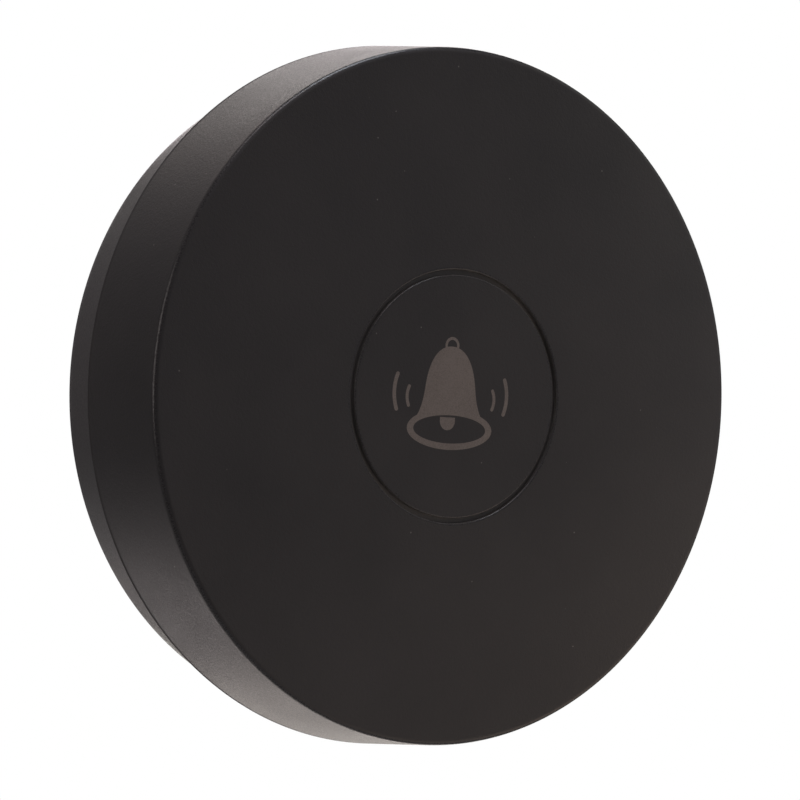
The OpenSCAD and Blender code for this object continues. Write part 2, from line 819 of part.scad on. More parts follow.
// The switch's metal dome, a shallow cap on the well's floor
module snap_dome() {
    dome_r = stem_flange_d / 2;
    inner_rise = dome_h - dome_t;
    ball_r = (dome_r * dome_r + inner_rise * inner_rise) / (2 * inner_rise);
    well_z = board_z + switch_floor_t;
    color("#d0d1cf") upright() intersection() {
        translate([0, 0, well_z + inner_rise - ball_r]) difference() {
            sphere(ball_r + dome_t);
            sphere(ball_r);
        }
        disc(dome_r, well_z, dome_h + cut);
    }
}

// The switch's four legs, soldered to the board
module switch_legs() {
    color("#c9cbcc") upright()
        translate([0, 0, board_z]) lead_rows(switch_w, 2, leg_pitch, leg_mid, leg_w);
}

// The indicator light behind the symbol
module indicator_led() {
    color("#ecebe6") upright() translate([0, led_y, board_z]) difference() {
        box([led_l, led_w, led_h], [0, 0, 0]);
        disc(led_lens_d / 2 + led_gap, led_h - led_lens_h, led_lens_h + cut);
    }
}

// The indicator light's clear fill
module led_lens() {
    color("#cfe0ee") upright()
        translate([0, led_y, board_z]) disc(led_lens_d / 2, led_h - led_lens_h, led_lens_h);
}

// The radio chip's body
module transmitter_chip() {
    color("#1b1b1d") upright() on_back(chip_x, chip_y) box([chip_w, chip_l, chip_h], [0, 0, chip_stand]);
}

// The radio chip's leads
module chip_leads() {
    color("#c9cbcc") upright() on_back(chip_x, chip_y)
        lead_rows(chip_w, lead_count, lead_pitch, chip_stand + chip_h / 2, lead_w);
}

// The crystal's moulded base
module crystal_base() {
    color("#242427") upright() on_back(crystal_x, crystal_y)
        box([crystal_l, crystal_w, crystal_base_t], [0, 0, 0]);
}

// The crystal's metal can
module crystal_can() {
    color("#bfc1c2") upright() on_back(crystal_x, crystal_y)
        round_bar(crystal_l - crystal_end, crystal_w - crystal_side, crystal_h, [0, 0, crystal_base_t]);
}

// The supply capacitor's moulded base
module capacitor_base() {
    color("#242427") upright() on_back(capacitor_x, capacitor_y)
        box([capacitor_w, capacitor_w, capacitor_base_t], [0, 0, 0]);
}

// The supply capacitor's can
module capacitor_can() {
    color("#c6c8c9") upright() on_back(capacitor_x, capacitor_y)
        disc(capacitor_d / 2, capacitor_base_t, capacitor_h);
}

// A row of small soldered blocks, centred under the switch
module small_row(count, size) {
    for (i = [0 : count - 1]) box(size, [(i - (count - 1) / 2) * small_pitch, 0, 0]);
}

module chip_resistors() {
    color("#2a2a2c") upright() on_back(0, resistor_y)
        small_row(resistor_count, [resistor_l, resistor_w, resistor_h]);
}

module chip_capacitors() {
    color("#b08d63") upright() on_back(0, ceramic_y)
        small_row(ceramic_count, [ceramic_l, ceramic_w, ceramic_h]);
}

// The air-cored tuning coil: a leg down from the board, the turns, and a leg back up
coil_axis_z = back_z - coil_r - coil_wire;
coil_half_turns = 2 * coil_turns + 1;
coil_steps = coil_half_turns * wire_steps / 2;
coil_points = concat(
    [[coil_x, coil_y + coil_r, back_z]],
    [
        for (i = [0 : coil_steps])
            let (a = 360 * i / wire_steps)
            [coil_x + coil_pitch * i / wire_steps, coil_y + coil_r * cos(a), coil_axis_z - coil_r * sin(a)]
    ],
    [[coil_x + coil_pitch * coil_half_turns / 2, coil_y - coil_r, back_z]]
);
module rf_coil() {
    color("#b5713a") upright() wire(coil_points, coil_wire / 2);
}

// The aerial, a copper loop along the board's round edge
module loop_antenna() {
    outer = content_r - aerial_inset;
    color("#c27a3e") upright()
        ring_sector(outer - aerial_w, outer, back_z - aerial_t, aerial_t, 90, aerial_arc);
}

// The cell's trough, staked to the inside of the front wall
module battery_cradle() {
    block_w = cell_d / 2 + cradle_wall + cell_y - ledge_y;
    foot_z = cell_z - cell_d / 2 + end_wall_foot;
    bay_w = contact_w + 2 * cell_gap;
    bay_top_z = cell_z + bay_w / 2;
    color("#3a3a3c") upright() difference() {
        intersection() {
            union() {
                translate([-row_l / 2, ledge_y, cradle_z]) cube([row_l, block_w, inner_z - cradle_z]);
                for (side = [0, 1])
                    mirror([side, 0, 0])
                        translate([row_l / 2 - end_wall_t, ledge_y, foot_z])
                        cube([end_wall_t, block_w, inner_z - foot_z]);
            }
            disc(content_r, 0, front_z);
        }
        bar_x(cell_d / 2 + cell_gap, can_x - cell_gap, can_l + 2 * cell_gap, cell_y, cell_z);
        for (bay = [[negative_x, can_x], [can_end_x, positive_x + contact_t]])
            translate([bay[0], cell_y - bay_w / 2, 0]) cube([bay[1] - bay[0], bay_w, bay_top_z]);
        disc(collar_r + cradle_gap, 0, front_z);
        at_stakes() disc(stake_d / 2 + stake_gap, 0, front_z);
    }
}

// The 12 V cell
module battery_cell() {
    can_r = cell_d / 2;
    color("#5a6068") upright()
        translate([can_x, cell_y, cell_z]) rotate([0, 90, 0]) {
            turned(concat(
                [[0, 0]],
                arc([can_r - can_round, can_round], can_round, -90, 0),
                arc([can_r - can_round, can_l - can_round], can_round, 0, 90),
                [[0, can_l]]
            ));
            disc(cell_button_d / 2, can_l - root, cell_button_h + root);
        }
}

// The coned battery spring
spring_reach = spring_l - spring_wire - 2 * spring_gap;
spring_steps = spring_turns * wire_steps;
spring_points = [
    for (i = [0 : spring_steps])
        let (t = i / spring_steps, r = spring_wide_r + (spring_narrow_r - spring_wide_r) * t)
        [
            spring_x + spring_gap + spring_wire / 2 + spring_reach * t,
            cell_y + r * cos(360 * i / wire_steps),
            cell_z + r * sin(360 * i / wire_steps)
        ]
];
module battery_spring() {
    color("#c9cbcc") upright() wire(spring_points, spring_wire / 2);
}

// A contact plate against an end wall, with a tab soldered to the back of the board
module contact(x, tab_x) {
    plate_top_y = cell_y + contact_w / 2;
    translate([x, cell_y - contact_w / 2, cell_z - contact_w / 2]) cube([contact_t, contact_w, contact_w]);
    translate([tab_x, plate_top_y - contact_t, back_z - contact_t])
        cube([tab_w, board_edge_y + tab_l - plate_top_y + contact_t, contact_t]);
}

module negative_contact() {
    color("#c9c6bb") upright() contact(negative_x, negative_x);
}

module positive_contact() {
    color("#c9c6bb") upright() contact(positive_x, positive_x + contact_t - tab_w);
}

echo(least_gap_of_coil = wire_gap(coil_points, coil_wire / 2));
echo(least_gap_of_spring = wire_gap(spring_points, spring_wire / 2));
echo(depth = front_z, free_twist = twist);

front_housing();
push_button();
symbol_core();
mounting_base();
base_seal();
adhesive_pad();
circuit_board();
board_screws();
switch_base();
switch_cover();
switch_stem();
snap_dome();
switch_legs();
indicator_led();
led_lens();
transmitter_chip();
chip_leads();
crystal_base();
crystal_can();
capacitor_base();
capacitor_can();
chip_resistors();
chip_capacitors();
rf_coil();
loop_antenna();
battery_cradle();
battery_cell();
battery_spring();
negative_contact();
positive_contact();
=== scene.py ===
# %% [markdown]
# # A round wireless doorbell button
# The real object is a black moulded disc, 60 mm across, that is stuck or screwed to a wall. Its shell twists
# off a smaller base, and a flush round button with a bell sits in the middle of its face.
# The imported solids come first, because every piece made here sits where they are. Their box is read so
# that the drawing's sizes can be compared with it.

# %% Load the imported solids
import math

import bmesh
import bpy
from mathutils import Matrix, Vector


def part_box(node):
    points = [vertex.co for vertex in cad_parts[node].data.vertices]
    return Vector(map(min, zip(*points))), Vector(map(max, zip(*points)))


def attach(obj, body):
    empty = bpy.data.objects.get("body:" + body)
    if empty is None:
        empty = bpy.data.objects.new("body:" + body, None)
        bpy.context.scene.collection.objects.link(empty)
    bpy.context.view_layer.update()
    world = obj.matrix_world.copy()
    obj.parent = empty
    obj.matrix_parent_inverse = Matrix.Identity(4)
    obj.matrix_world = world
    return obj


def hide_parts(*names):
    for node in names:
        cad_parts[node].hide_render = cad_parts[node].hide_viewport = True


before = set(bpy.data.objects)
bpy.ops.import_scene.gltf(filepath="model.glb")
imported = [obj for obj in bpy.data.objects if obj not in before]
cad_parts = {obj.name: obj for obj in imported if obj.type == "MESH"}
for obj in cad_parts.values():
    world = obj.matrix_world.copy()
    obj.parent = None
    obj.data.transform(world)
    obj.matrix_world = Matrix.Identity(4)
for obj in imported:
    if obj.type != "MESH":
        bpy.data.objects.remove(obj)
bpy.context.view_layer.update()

# %% [markdown]
# ## The drawing
# Moulded parts are easiest to draw lying on their back, in millimetres: x to the right, y up, and z from the
# wall towards the front. Each finished piece is turned upright and scaled to metres in one step.
# The values below are the ones that the solids were built from. Typing them once keeps every piece in step.
# In the names, _r is a radius, _z a height above the wall, _t a thickness, _h a height and _w a width.

# %% Sizes of the shell and the base
mm_per_m = 1000
pad_t = 1.0
floor_z, shoulder_z, seam_z = 2.6, 7.4, 7.55
inner_z, front_z = 15.2, 17.0
rim_r, face_r = 30.0, 29.23
base_r, back_r = 28.9, 28.06
wall_t = 1.6
edge_round, back_round, seam_round = 0.45, 0.3, 0.15


def outer_r(z):
    """Radius of the drafted shell wall at a height."""
    return rim_r + (face_r - rim_r) * (z - seam_z) / (front_z - seam_z)


low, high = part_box("front_housing")
print("rim radius in the solids:", round(high.x * mm_per_m, 3), "and here:", rim_r)
print("front in the solids:", round(-low.y * mm_per_m, 3), "and here:", front_z)

# %% [markdown]
# ## The camera
# The picture was taken from the left, 34.6 degrees off the front, almost level, with a long lens. A long
# lens keeps the circles close to plain ellipses. The angles, the distance and the lens were solved from the
# outline of the face, the seam and the button's groove.

# %% Camera at the picture's angle
camera_turn, camera_tilt = 34.664, -0.746
camera_lens, sensor_w = 149.96, 36.0
camera_place = (-0.16267, -0.24401, 0.00266)

camera_data = bpy.data.cameras.new("camera")
camera_data.lens, camera_data.sensor_width = camera_lens, sensor_w
camera = bpy.data.objects.new("camera", camera_data)
bpy.context.scene.collection.objects.link(camera)
upright_lens = Matrix.Rotation(math.pi / 2, 4, "X")
turned_left = Matrix.Rotation(-math.radians(camera_turn), 4, "Z")
tilted = Matrix.Rotation(math.radians(camera_tilt), 4, "X")
camera.matrix_world = Matrix.Translation(camera_place) @ tilted @ turned_left @ upright_lens
bpy.context.scene.camera = camera
print("camera distance:", round(camera.location.length * mm_per_m), "mm")

# %% [markdown]
# ## Drawing an outline
# A turned part could be made by stacking cylinders, but then every rounding needs its own bevel. Drawing half
# of the cross-section and spinning it gives all of them at once.
# A plane is merged to a single vertex, and that vertex is extruded from point to point, as with E and a
# number on the keyboard. The last point falls on the first, and merging the doubles closes the outline.

# %% Start a mesh and trace points
merge_gap = 1e-4


def start(name):
    """Adds a plane and shrinks it to one vertex at the origin, in edit mode."""
    bpy.ops.object.select_all(action="DESELECT")
    bpy.ops.mesh.primitive_plane_add(size=1)
    piece = bpy.context.object
    piece.name = piece.data.name = name
    bpy.ops.object.mode_set(mode="EDIT")
    bpy.ops.mesh.select_mode(type="VERT")
    bpy.ops.mesh.select_all(action="SELECT")
    bpy.ops.mesh.merge(type="CENTER")
    return piece


def close_up():
    """Merges doubles, drops what hangs loose and turns every face outwards."""
    bpy.ops.mesh.select_all(action="SELECT")
    bpy.ops.mesh.remove_doubles(threshold=merge_gap)
    bpy.ops.mesh.delete_loose()
    bpy.ops.mesh.select_all(action="SELECT")
    bpy.ops.mesh.normals_make_consistent(inside=False)


def trace(points):
    """Extrudes the vertex through all points and back to the first one."""
    points = [Vector(p) for p in points]
    bpy.ops.transform.translate(value=points[0])
    for a, b in zip(points, points[1:] + points[:1]):
        bpy.ops.mesh.extrude_vertices_move(TRANSFORM_OT_translate={"value": b - a})
    bpy.ops.mesh.select_all(action="SELECT")
    bpy.ops.mesh.remove_doubles(threshold=merge_gap)


# %% [markdown]
# Every corner of an outline may have a rounding. The rounding is a true tangent arc. One more point is set
# beside each end of it, so that smooth shading bends only inside that narrow band and the large flat faces
# stay flat.

# %% Round the corners and spin
round_steps, guard = 7, 0.12
turn_steps = 256


def rounded(corners):
    """Outline points from (radius, z, rounding) corners."""
    points = []
    for i, (r, z, rounding) in enumerate(corners):
        corner = Vector((r, z))
        if not rounding:
            points.append(corner)
            continue
        back = (Vector(corners[i - 1][:2]) - corner).normalized()
        ahead = (Vector(corners[(i + 1) % len(corners)][:2]) - corner).normalized()
        half = back.angle(ahead) / 2
        reach = rounding / math.tan(half)
        middle = corner + (back + ahead).normalized() * rounding / math.sin(half)
        first, last = ((corner + side * reach - middle).normalized() for side in (back, ahead))
        points.append(corner + back * (reach + guard))
        for k in range(round_steps + 1):
            points.append(middle + rounding * first.slerp(last, k / round_steps))
        points.append(corner + ahead * (reach + guard))
    return points


def turned(name, corners):
    """A round piece: the outline spun about the z axis."""
    piece = start(name)
    trace([(p.x, 0, p.y) for p in rounded(corners)])
    bpy.ops.mesh.spin(steps=turn_steps, angle=math.tau, center=(0, 0, 0), axis=(0, 0, 1))
    close_up()
    bpy.ops.object.mode_set(mode="OBJECT")
    return piece


# %% [markdown]
# Some features only go part of the way round, such as the lugs of the twist lock. The same outline is filled
# and spun through a part of a turn. Pieces are then joined or cut with a Boolean modifier that is applied at
# once.

# %% Sectors, plates and Booleans
sector_step = 2.0


def sector(name, r_in, r_out, z, height, middle, width):
    """A block between two radii, bent round the axis. Angles are in degrees."""
    piece = start(name)
    a = math.radians(middle - width / 2)
    corners = ((r_in, z), (r_out, z), (r_out, z + height), (r_in, z + height))
    trace([(r * math.cos(a), r * math.sin(a), h) for r, h in corners])
    bpy.ops.mesh.edge_face_add()
    steps = math.ceil(width / sector_step)
    bpy.ops.mesh.spin(steps=steps, angle=-math.radians(width), center=(0, 0, 0), axis=(0, 0, 1))
    close_up()
    bpy.ops.object.mode_set(mode="OBJECT")
    return piece


def push(z):
    """Extrudes the selection along z."""
    bpy.ops.mesh.extrude_region_move(TRANSFORM_OT_translate={"value": (0, 0, z)})


def plate(name, outline, low_z, high_z):
    """A flat outline, filled and extruded along z."""
    piece = start(name)
    trace([(x, y, low_z) for x, y in outline])
    bpy.ops.mesh.edge_face_add()
    push(high_z - low_z)
    close_up()
    bpy.ops.object.mode_set(mode="OBJECT")
    return piece


def combine(piece, tool, operation):
    """Joins, cuts or keeps what two pieces share, and removes the second one."""
    bpy.context.view_layer.objects.active = piece
    boolean = piece.modifiers.new("boolean", "BOOLEAN")
    boolean.operation, boolean.solver, boolean.object = operation, "EXACT", tool
    bpy.ops.object.modifier_apply(modifier=boolean.name)
    bpy.data.objects.remove(tool)


# %% [markdown]
# The last step is the same for every piece: stand it up against the wall, scale it to metres, put its place
# into the mesh, smooth what is round, and tie it to the body that it moves with.

# %% Stand a piece up and tie it to its body
smooth_angle = math.radians(28)


def open_edges(piece):
    """Counts the edges that don't join exactly two faces."""
    shape = bmesh.new()
    shape.from_mesh(piece.data)
    count = sum(not edge.is_manifold for edge in shape.edges)
    shape.free()
    return count


def place(piece, body, slot, *nodes):
    """Turns a drawn piece upright, in metres, and lets it stand for its solids."""
    bpy.ops.object.select_all(action="DESELECT")
    bpy.context.view_layer.objects.active = piece
    piece.select_set(True)
    piece.rotation_euler = (math.pi / 2, 0, 0)
    piece.scale = (1 / mm_per_m, 1 / mm_per_m, 1 / mm_per_m)
    bpy.ops.object.transform_apply(location=True, rotation=True, scale=True)
    bpy.ops.object.shade_smooth_by_angle(angle=smooth_angle)
    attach(piece, body)
    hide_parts(*nodes)
    size = " x ".join(f"{mm_per_m * d:.2f}" for d in piece.dimensions)
    print(piece.name, "faces:", len(piece.data.polygons), "open edges:", open_edges(piece), "mm:", size)


# %% [markdown]
# ## The shell
# The shell is moulded in one piece: a drafted wall that lets go of the mould, a face with a thin lip round
# the opening, and a guide collar behind it for the button's flange. Its front edge is only lightly rounded,
# and that small rounding catches the light as a fine line.

# %% Shell: wall, face, lip and collar
opening_r, lip_t, lip_round = 10.65, 0.4, 0.1
guide_r, collar_r, collar_h = 11.95, 13.15, 1.2
lip_z = front_z - lip_t
collar_z = inner_z - collar_h

shell = turned("shell", [
    (outer_r(seam_z) - wall_t, seam_z, 0),
    (rim_r, seam_z, seam_round),
    (face_r, front_z, edge_round),
    (opening_r, front_z, lip_round),
    (opening_r, lip_z, 0),
    (guide_r, lip_z, 0),
    (guide_r, collar_z, 0),
    (collar_r, collar_z, 0),
    (collar_r, inner_z, 0),
    (outer_r(inner_z) - wall_t, inner_z, 0),
])
print("shell wall:", len(shell.data.polygons), "faces")

# %% [markdown]
# Bosses, stakes and the button's plunger are all round rods, so one helper makes them from a cylinder. A
# moulded rod has no sharp end: the rim at its low end is bevelled. The end face is picked by the way it
# faces, which stays right when a size changes. Picking it by its number would not.

# %% Pick faces and make rods
facing = 0.9  # least share of a face's normal along z
rod_sides, rim_steps = 48, 3


def faces_front(face):
    """A test for faces that look to the front."""
    return face.normal.z > facing


def faces_back(face):
    """A test for faces that look to the wall."""
    return face.normal.z < -facing


def pick(test, kind="FACE"):
    """Selects the faces or edges that pass the test."""
    bpy.ops.mesh.select_mode(type=kind)
    bpy.ops.mesh.select_all(action="DESELECT")
    shape = bmesh.from_edit_mesh(bpy.context.edit_object.data)
    for item in shape.faces if kind == "FACE" else shape.edges:
        if test(item):
            item.select_set(True)
    bmesh.update_edit_mesh(bpy.context.edit_object.data)


def rod(name, r, x, y, low_z, high_z, rim=0.0, sides=rod_sides):
    """A round rod with a bevelled rim at its low end."""
    bpy.ops.object.select_all(action="DESELECT")
    middle = (x, y, (low_z + high_z) / 2)
    bpy.ops.mesh.primitive_cylinder_add(vertices=sides, radius=r, depth=high_z - low_z, location=middle)
    piece = bpy.context.object
    piece.name = piece.data.name = name
    bpy.ops.object.transform_apply(location=True)
    if rim:
        bpy.ops.object.mode_set(mode="EDIT")
        pick(faces_back)
        bpy.ops.mesh.bevel(offset=rim, segments=rim_steps, affect="EDGES")
        bpy.ops.object.mode_set(mode="OBJECT")
    return piece


# %% [markdown]
# Inside, three lugs hold the base, three bosses take the board's screws, and two stakes hold the battery's
# cradle. They are hidden on the wall, and still belong to the part, because it can be opened. Each one is
# rooted a little way into the shell, so that the Boolean never has to join two faces that only touch.

# %% Shell: lugs, bosses and stakes
root = 0.6
clear = 1.0  # how far a cutter starts outside what it cuts
lug_angles = (90, 210, 330)
lug_in, lug_z, lug_t, lug_arc = 26.5, 9.64, 1.2, 24
boss_ring_r, boss_r, boss_rim, board_z = 19.5, 2.4, 0.15, 9.95
boss_angles = (12, 90, 168)
pilot_r, pilot_depth = 1.03, 3.9
stake_x, stake_y, cradle_z = 7.0, -20.59, 10.45
stake_r, stake_head_r, stake_head_h, stake_rim = 0.8, 1.2, 0.6, 0.2

for angle in lug_angles:
    wall_r = outer_r(lug_z) - wall_t + root
    combine(shell, sector("lug", lug_in, wall_r, lug_z, lug_t, angle, lug_arc), "UNION")
for angle in boss_angles:
    a = math.radians(angle)
    x, y = boss_ring_r * math.cos(a), boss_ring_r * math.sin(a)
    combine(shell, rod("boss", boss_r, x, y, board_z, inner_z + root, rim=boss_rim), "UNION")
    combine(shell, rod("pilot", pilot_r, x, y, board_z - clear, board_z + pilot_depth), "DIFFERENCE")
for x in (-stake_x, stake_x):
    combine(shell, rod("stake", stake_r, x, stake_y, cradle_z - root, inner_z + root), "UNION")
    stake_head_z = cradle_z - stake_head_h
    head = rod("stake_head", stake_head_r, x, stake_y, stake_head_z, cradle_z, rim=stake_rim)
    combine(shell, head, "UNION")
place(shell, "shell", "shell_black", "front_housing")

# %% [markdown]
# ## The button's cap
# The cap is a flat disc with a flange that the lip holds back, and a skirt. It could be turned like the
# shell, but it is plain enough to be modelled from one cylinder: its back face is scaled out to the flange,
# extruded down to the skirt, inset and pushed back up.

# %% Cap: extrude and inset
cap_r, flange_r, skirt_t = 10.2, 11.65, 1.1
flange_z, skirt_z, head_z = 16.55, 14.25, 15.6

cap = rod("button_cap", cap_r, 0, 0, flange_z, front_z, sides=turn_steps)
bpy.ops.object.mode_set(mode="EDIT")
pick(faces_front)
bpy.ops.mesh.inset(thickness=lip_round + guard)
pick(faces_back)
push(0)
flange_scale = flange_r / cap_r
bpy.ops.transform.resize(value=(flange_scale, flange_scale, 1), center_override=(0, 0, flange_z))
push(skirt_z - flange_z)
bpy.ops.mesh.inset(thickness=skirt_t)
push(head_z - skirt_z)
bpy.ops.object.mode_set(mode="OBJECT")
print("cap:", len(cap.data.polygons), "faces")

# %% [markdown]
# The cap's front edge gets a fine bevel, which shows as a thin bright line in the groove, and so does the
# flange. An edge is picked by the circle that it lies on.

# %% Cap: bevel the edges
ring_gap = 0.01


def on_ring(r, z):
    """A test for edges that lie along a circle."""
    def test(edge):
        middle = (edge.verts[0].co + edge.verts[1].co) / 2
        level = abs(edge.verts[0].co.z - edge.verts[1].co.z) < merge_gap
        return level and abs(middle.z - z) < ring_gap and abs(middle.xy.length - r) < ring_gap
    return test


bpy.ops.object.mode_set(mode="EDIT")
pick(on_ring(cap_r, front_z), "EDGE")
bpy.ops.mesh.bevel(offset=lip_round, segments=round_steps, affect="EDGES")
pick(on_ring(flange_r, flange_z), "EDGE")
bpy.ops.mesh.bevel(offset=lip_round, segments=rim_steps, affect="EDGES")
bpy.ops.object.mode_set(mode="OBJECT")
print("cap before the bell is cut:", len(cap.data.polygons), "faces")

# %% [markdown]
# ## The bell
# The bell is a second, smoky moulding that fills windows in the cap, so its face is flush. A picture on the
# cap would do for the render, but the real mark is a shape, and the windows let light through.
# Its outline is put together from curves: the flared side, the two ellipses of the mouth, the hanging loop,
# the clapper, and four sound arcs.

# %% Curves of the bell
bell_place, bell_tilt = Vector((-0.49, 0.06)), -2.8
body_x, mouth_y, loop_y = -0.09, -2.82, 4.2
side_curves = (
    ((0, 4.12), (1.6, 4.12), (2.35, 2.5), (2.57, 0.6)),
    ((2.57, 0.6), (2.75, -0.9), (3.2, -1.9), (4, -2.6)),
)
curve_steps, ring_points, arc_points = 20, 96, 14


def on_curve(a, b, c, d, t):
    """A point on a cubic curve."""
    a, b, c, d = (Vector(p) for p in (a, b, c, d))
    return (1 - t) ** 3 * a + 3 * (1 - t) ** 2 * t * b + 3 * (1 - t) * t * t * c + t ** 3 * d


def arc(x, y, rx, ry, start_angle, end_angle, count):
    """Points on an arc of an ellipse, both ends included."""
    sweep = end_angle - start_angle
    angles = [math.radians(start_angle + sweep * k / count) for k in range(count + 1)]
    return [(x + rx * math.cos(a), y + ry * math.sin(a)) for a in angles]


def oval(x, y, rx, ry):
    """A whole ellipse."""
    return arc(x, y, rx, ry, 0, 360 - 360 / ring_points, ring_points - 1)


right_side = [on_curve(*side_curves[0], k / curve_steps) for k in range(curve_steps)]
right_side += [on_curve(*side_curves[1], k / curve_steps) for k in range(curve_steps + 1)]
left_side = [Vector((-p.x, p.y)) for p in reversed(right_side[1:])]
body_side = [p + Vector((body_x, 0)) for p in right_side + left_side]
print("bell outline points:", len(body_side))

# %% [markdown]
# A sound arc is a stroke with round ends. The clapper is a half disc with a short straight top. Every part of
# the bell is a plate of the same height, so they are joined to one prism, which is shifted and tilted as a
# whole.

# %% Bell as one prism
mouth_size, mouth_hole_size = (4.35, 1.72), (3.7, 1.18)
loop_size, loop_hole_size = (0.72, 0.72), (0.48, 0.48)
clapper_x, clapper_y, clapper_r, clapper_top = -0.25, -2.13, 0.77, -1.82
long_stroke = (5.78, 0.12, 3.9, 21.8, 0.36)
short_stroke = (4.47, -0.19, 1.8, 26, 0.3)


def sound_arc(side, x, y, r, half_arc, width):
    """The outline of a stroke along an arc whose outermost point is at x."""
    cx, half = x - r, width / 2
    ends = math.radians(half_arc), -math.radians(half_arc)
    tips = [(cx + r * math.cos(a), y + r * math.sin(a)) for a in ends]
    points = arc(cx, y, r + half, r + half, -half_arc, half_arc, arc_points)
    points += arc(*tips[0], half, half, half_arc, half_arc + 180, arc_points)[1:-1]
    points += arc(cx, y, r - half, r - half, half_arc, -half_arc, arc_points)
    points += arc(*tips[1], half, half, 180 - half_arc, 360 - half_arc, arc_points)[1:-1]
    return [(side * px, py) for px, py in points]


def holed(bell_part, name, outline, low_z, high_z):
    """Cuts an outline right through a part of the bell."""
    combine(bell_part, plate(name, outline, low_z - clear, high_z + clear), "DIFFERENCE")


def bell_prism(name, low_z, high_z):
    """The whole bell between two heights, shifted and tilted as on the real button."""
    bell = plate(name, body_side, low_z, high_z)
    combine(bell, plate("mouth", oval(0, mouth_y, *mouth_size), low_z, high_z), "UNION")
    holed(bell, "mouth_hole", oval(0, mouth_y, *mouth_hole_size), low_z, high_z)
    loop = plate("loop", oval(body_x, loop_y, *loop_size), low_z, high_z)
    holed(loop, "loop_hole", oval(body_x, loop_y, *loop_hole_size), low_z, high_z)
    combine(bell, loop, "UNION")
    clapper = arc(clapper_x, clapper_y, clapper_r, clapper_r, 180, 360, 2 * arc_points)
    clapper = [(clapper_x - clapper_r, clapper_top)] + clapper + [(clapper_x + clapper_r, clapper_top)]
    marks = [plate("clapper", clapper, low_z, high_z)]
    for side in (1, -1):
        marks.append(plate("long_arc", sound_arc(side, *long_stroke), low_z, high_z))
        marks.append(plate("short_arc", sound_arc(side, *short_stroke), low_z, high_z))
    bpy.ops.object.select_all(action="DESELECT")
    for mark in marks + [bell]:
        mark.select_set(True)
    bpy.context.view_layer.objects.active = bell
    bpy.ops.object.join()
    bell.rotation_euler = (0, 0, math.radians(bell_tilt))
    bell.location = (*bell_place, 0)
    bpy.ops.object.transform_apply(location=True, rotation=True)
    return bell


# %% [markdown]
# The inside of the loop and of the mouth would fall out of the cap. Two thin bars below the face carry them,
# so the bell is only cut right through above the bars. The smoky moulding is the same prism, without the
# bars' room, on a disc that fills the skirt. A plunger in its middle presses the switch.

# %% Cut the windows and fill them
bar_w, bar_h = 0.5, 0.7
bar_top_z = head_z + bar_h
bars = ((body_x, loop_y, 1.2), (0, mouth_y - 2.2, 1.5))  # x, low end, length
core_r, core_z, plunger_r, plunger_z, plunger_rim = 10.4, 14.8, 2.0, 14.3, 0.2
past = 0.5  # how far windows and holes overlap a face


def cut_bars(bell, width):
    """Takes the two carrying bars out of the bell's lower half."""
    turn = Matrix.Rotation(math.radians(bell_tilt), 2)
    for x, y, length in bars:
        sides = x - width / 2, x + width / 2
        corners = [(sides[0], y), (sides[1], y), (sides[1], y + length), (sides[0], y + length)]
        outline = [turn @ Vector(c) + bell_place for c in corners]
        combine(bell, plate("bar", outline, core_z - clear, bar_top_z), "DIFFERENCE")


windows = bell_prism("windows", head_z - past, front_z + past)
cut_bars(windows, bar_w)
combine(cap, windows, "DIFFERENCE")
place(cap, "button", "button_black", "push_button")

core = bell_prism("bell_core", head_z - past, front_z)
cut_bars(core, bar_w)
disc = rod("disc", core_r, 0, 0, core_z, head_z)
combine(disc, rod("plunger", plunger_r, 0, 0, plunger_z, core_z + past, rim=plunger_rim), "UNION")
combine(core, disc, "UNION")
place(core, "button", "symbol_smoke", "symbol_core")

# %% [markdown]
# ## The base
# The base is the part that stays on the wall. Its outer wall leans in towards the wall, so it is set in
# behind the shell's rim and shows as a narrow strip. Inside stand the spigot and the ears that the lugs turn
# under. It is turned like the shell, then gets its ears, stops and two screw holes.

# %% Base: floor, wall, spigot, ears and holes
spigot_r, spigot_in, spigot_z = 26.2, 24.9, 12.34
web_t = 1.65
floor_wall_r, web_z = back_r - wall_t, shoulder_z - web_t
ear_r, ear_z, ear_t, ear_arc = 27.71, 11.14, 1.2, 26
stop_r, stop_h, stop_arc, stop_turn = 27.41, 2.4, 5, -15.1
screw_x, hole_r, sink_r, sink_h = 18.0, 1.8, 3.5, 1.0

base = turned("base", [
    (0, pad_t, 0),
    (back_r, pad_t, back_round),
    (base_r, shoulder_z, seam_round),
    (spigot_r, shoulder_z, 0),
    (spigot_r, spigot_z, 0),
    (spigot_in, spigot_z, 0),
    (spigot_in, web_z, 0),
    (floor_wall_r, web_z, 0),
    (floor_wall_r, floor_z, 0),
    (0, floor_z, 0),
])
for angle in lug_angles:
    combine(base, sector("ear", spigot_r - root, ear_r, ear_z, ear_t, angle, ear_arc), "UNION")
    stop = sector("stop", spigot_r - root, stop_r, lug_z, stop_h, angle + stop_turn, stop_arc)
    combine(base, stop, "UNION")
for x in (-screw_x, screw_x):
    hole = [(0, pad_t - past, 0), (hole_r, pad_t - past, 0), (hole_r, floor_z - sink_h, 0)]
    hole += [(sink_r, floor_z, 0), (sink_r, floor_z + past, 0), (0, floor_z + past, 0)]
    screw_hole = turned("screw_hole", hole)
    screw_hole.location.x = x
    combine(base, screw_hole, "DIFFERENCE")
place(base, "base", "base_black", "mounting_base")

# %% [markdown]
# ## The seal and the adhesive pad
# The seal is a rubber ring with the fine flash line that its two-part mould leaves. A torus has the right
# section, and a narrow band of it is bevelled off and pushed out.

# %% Seal with its mould line
seal_r, seal_seat = 0.95, 0.97
seal_ring_r, seal_z = spigot_r + seal_seat, shoulder_z + seal_seat
seal_steps, seal_sides = 192, 32
flash_w, flash_h = 0.05, 0.03

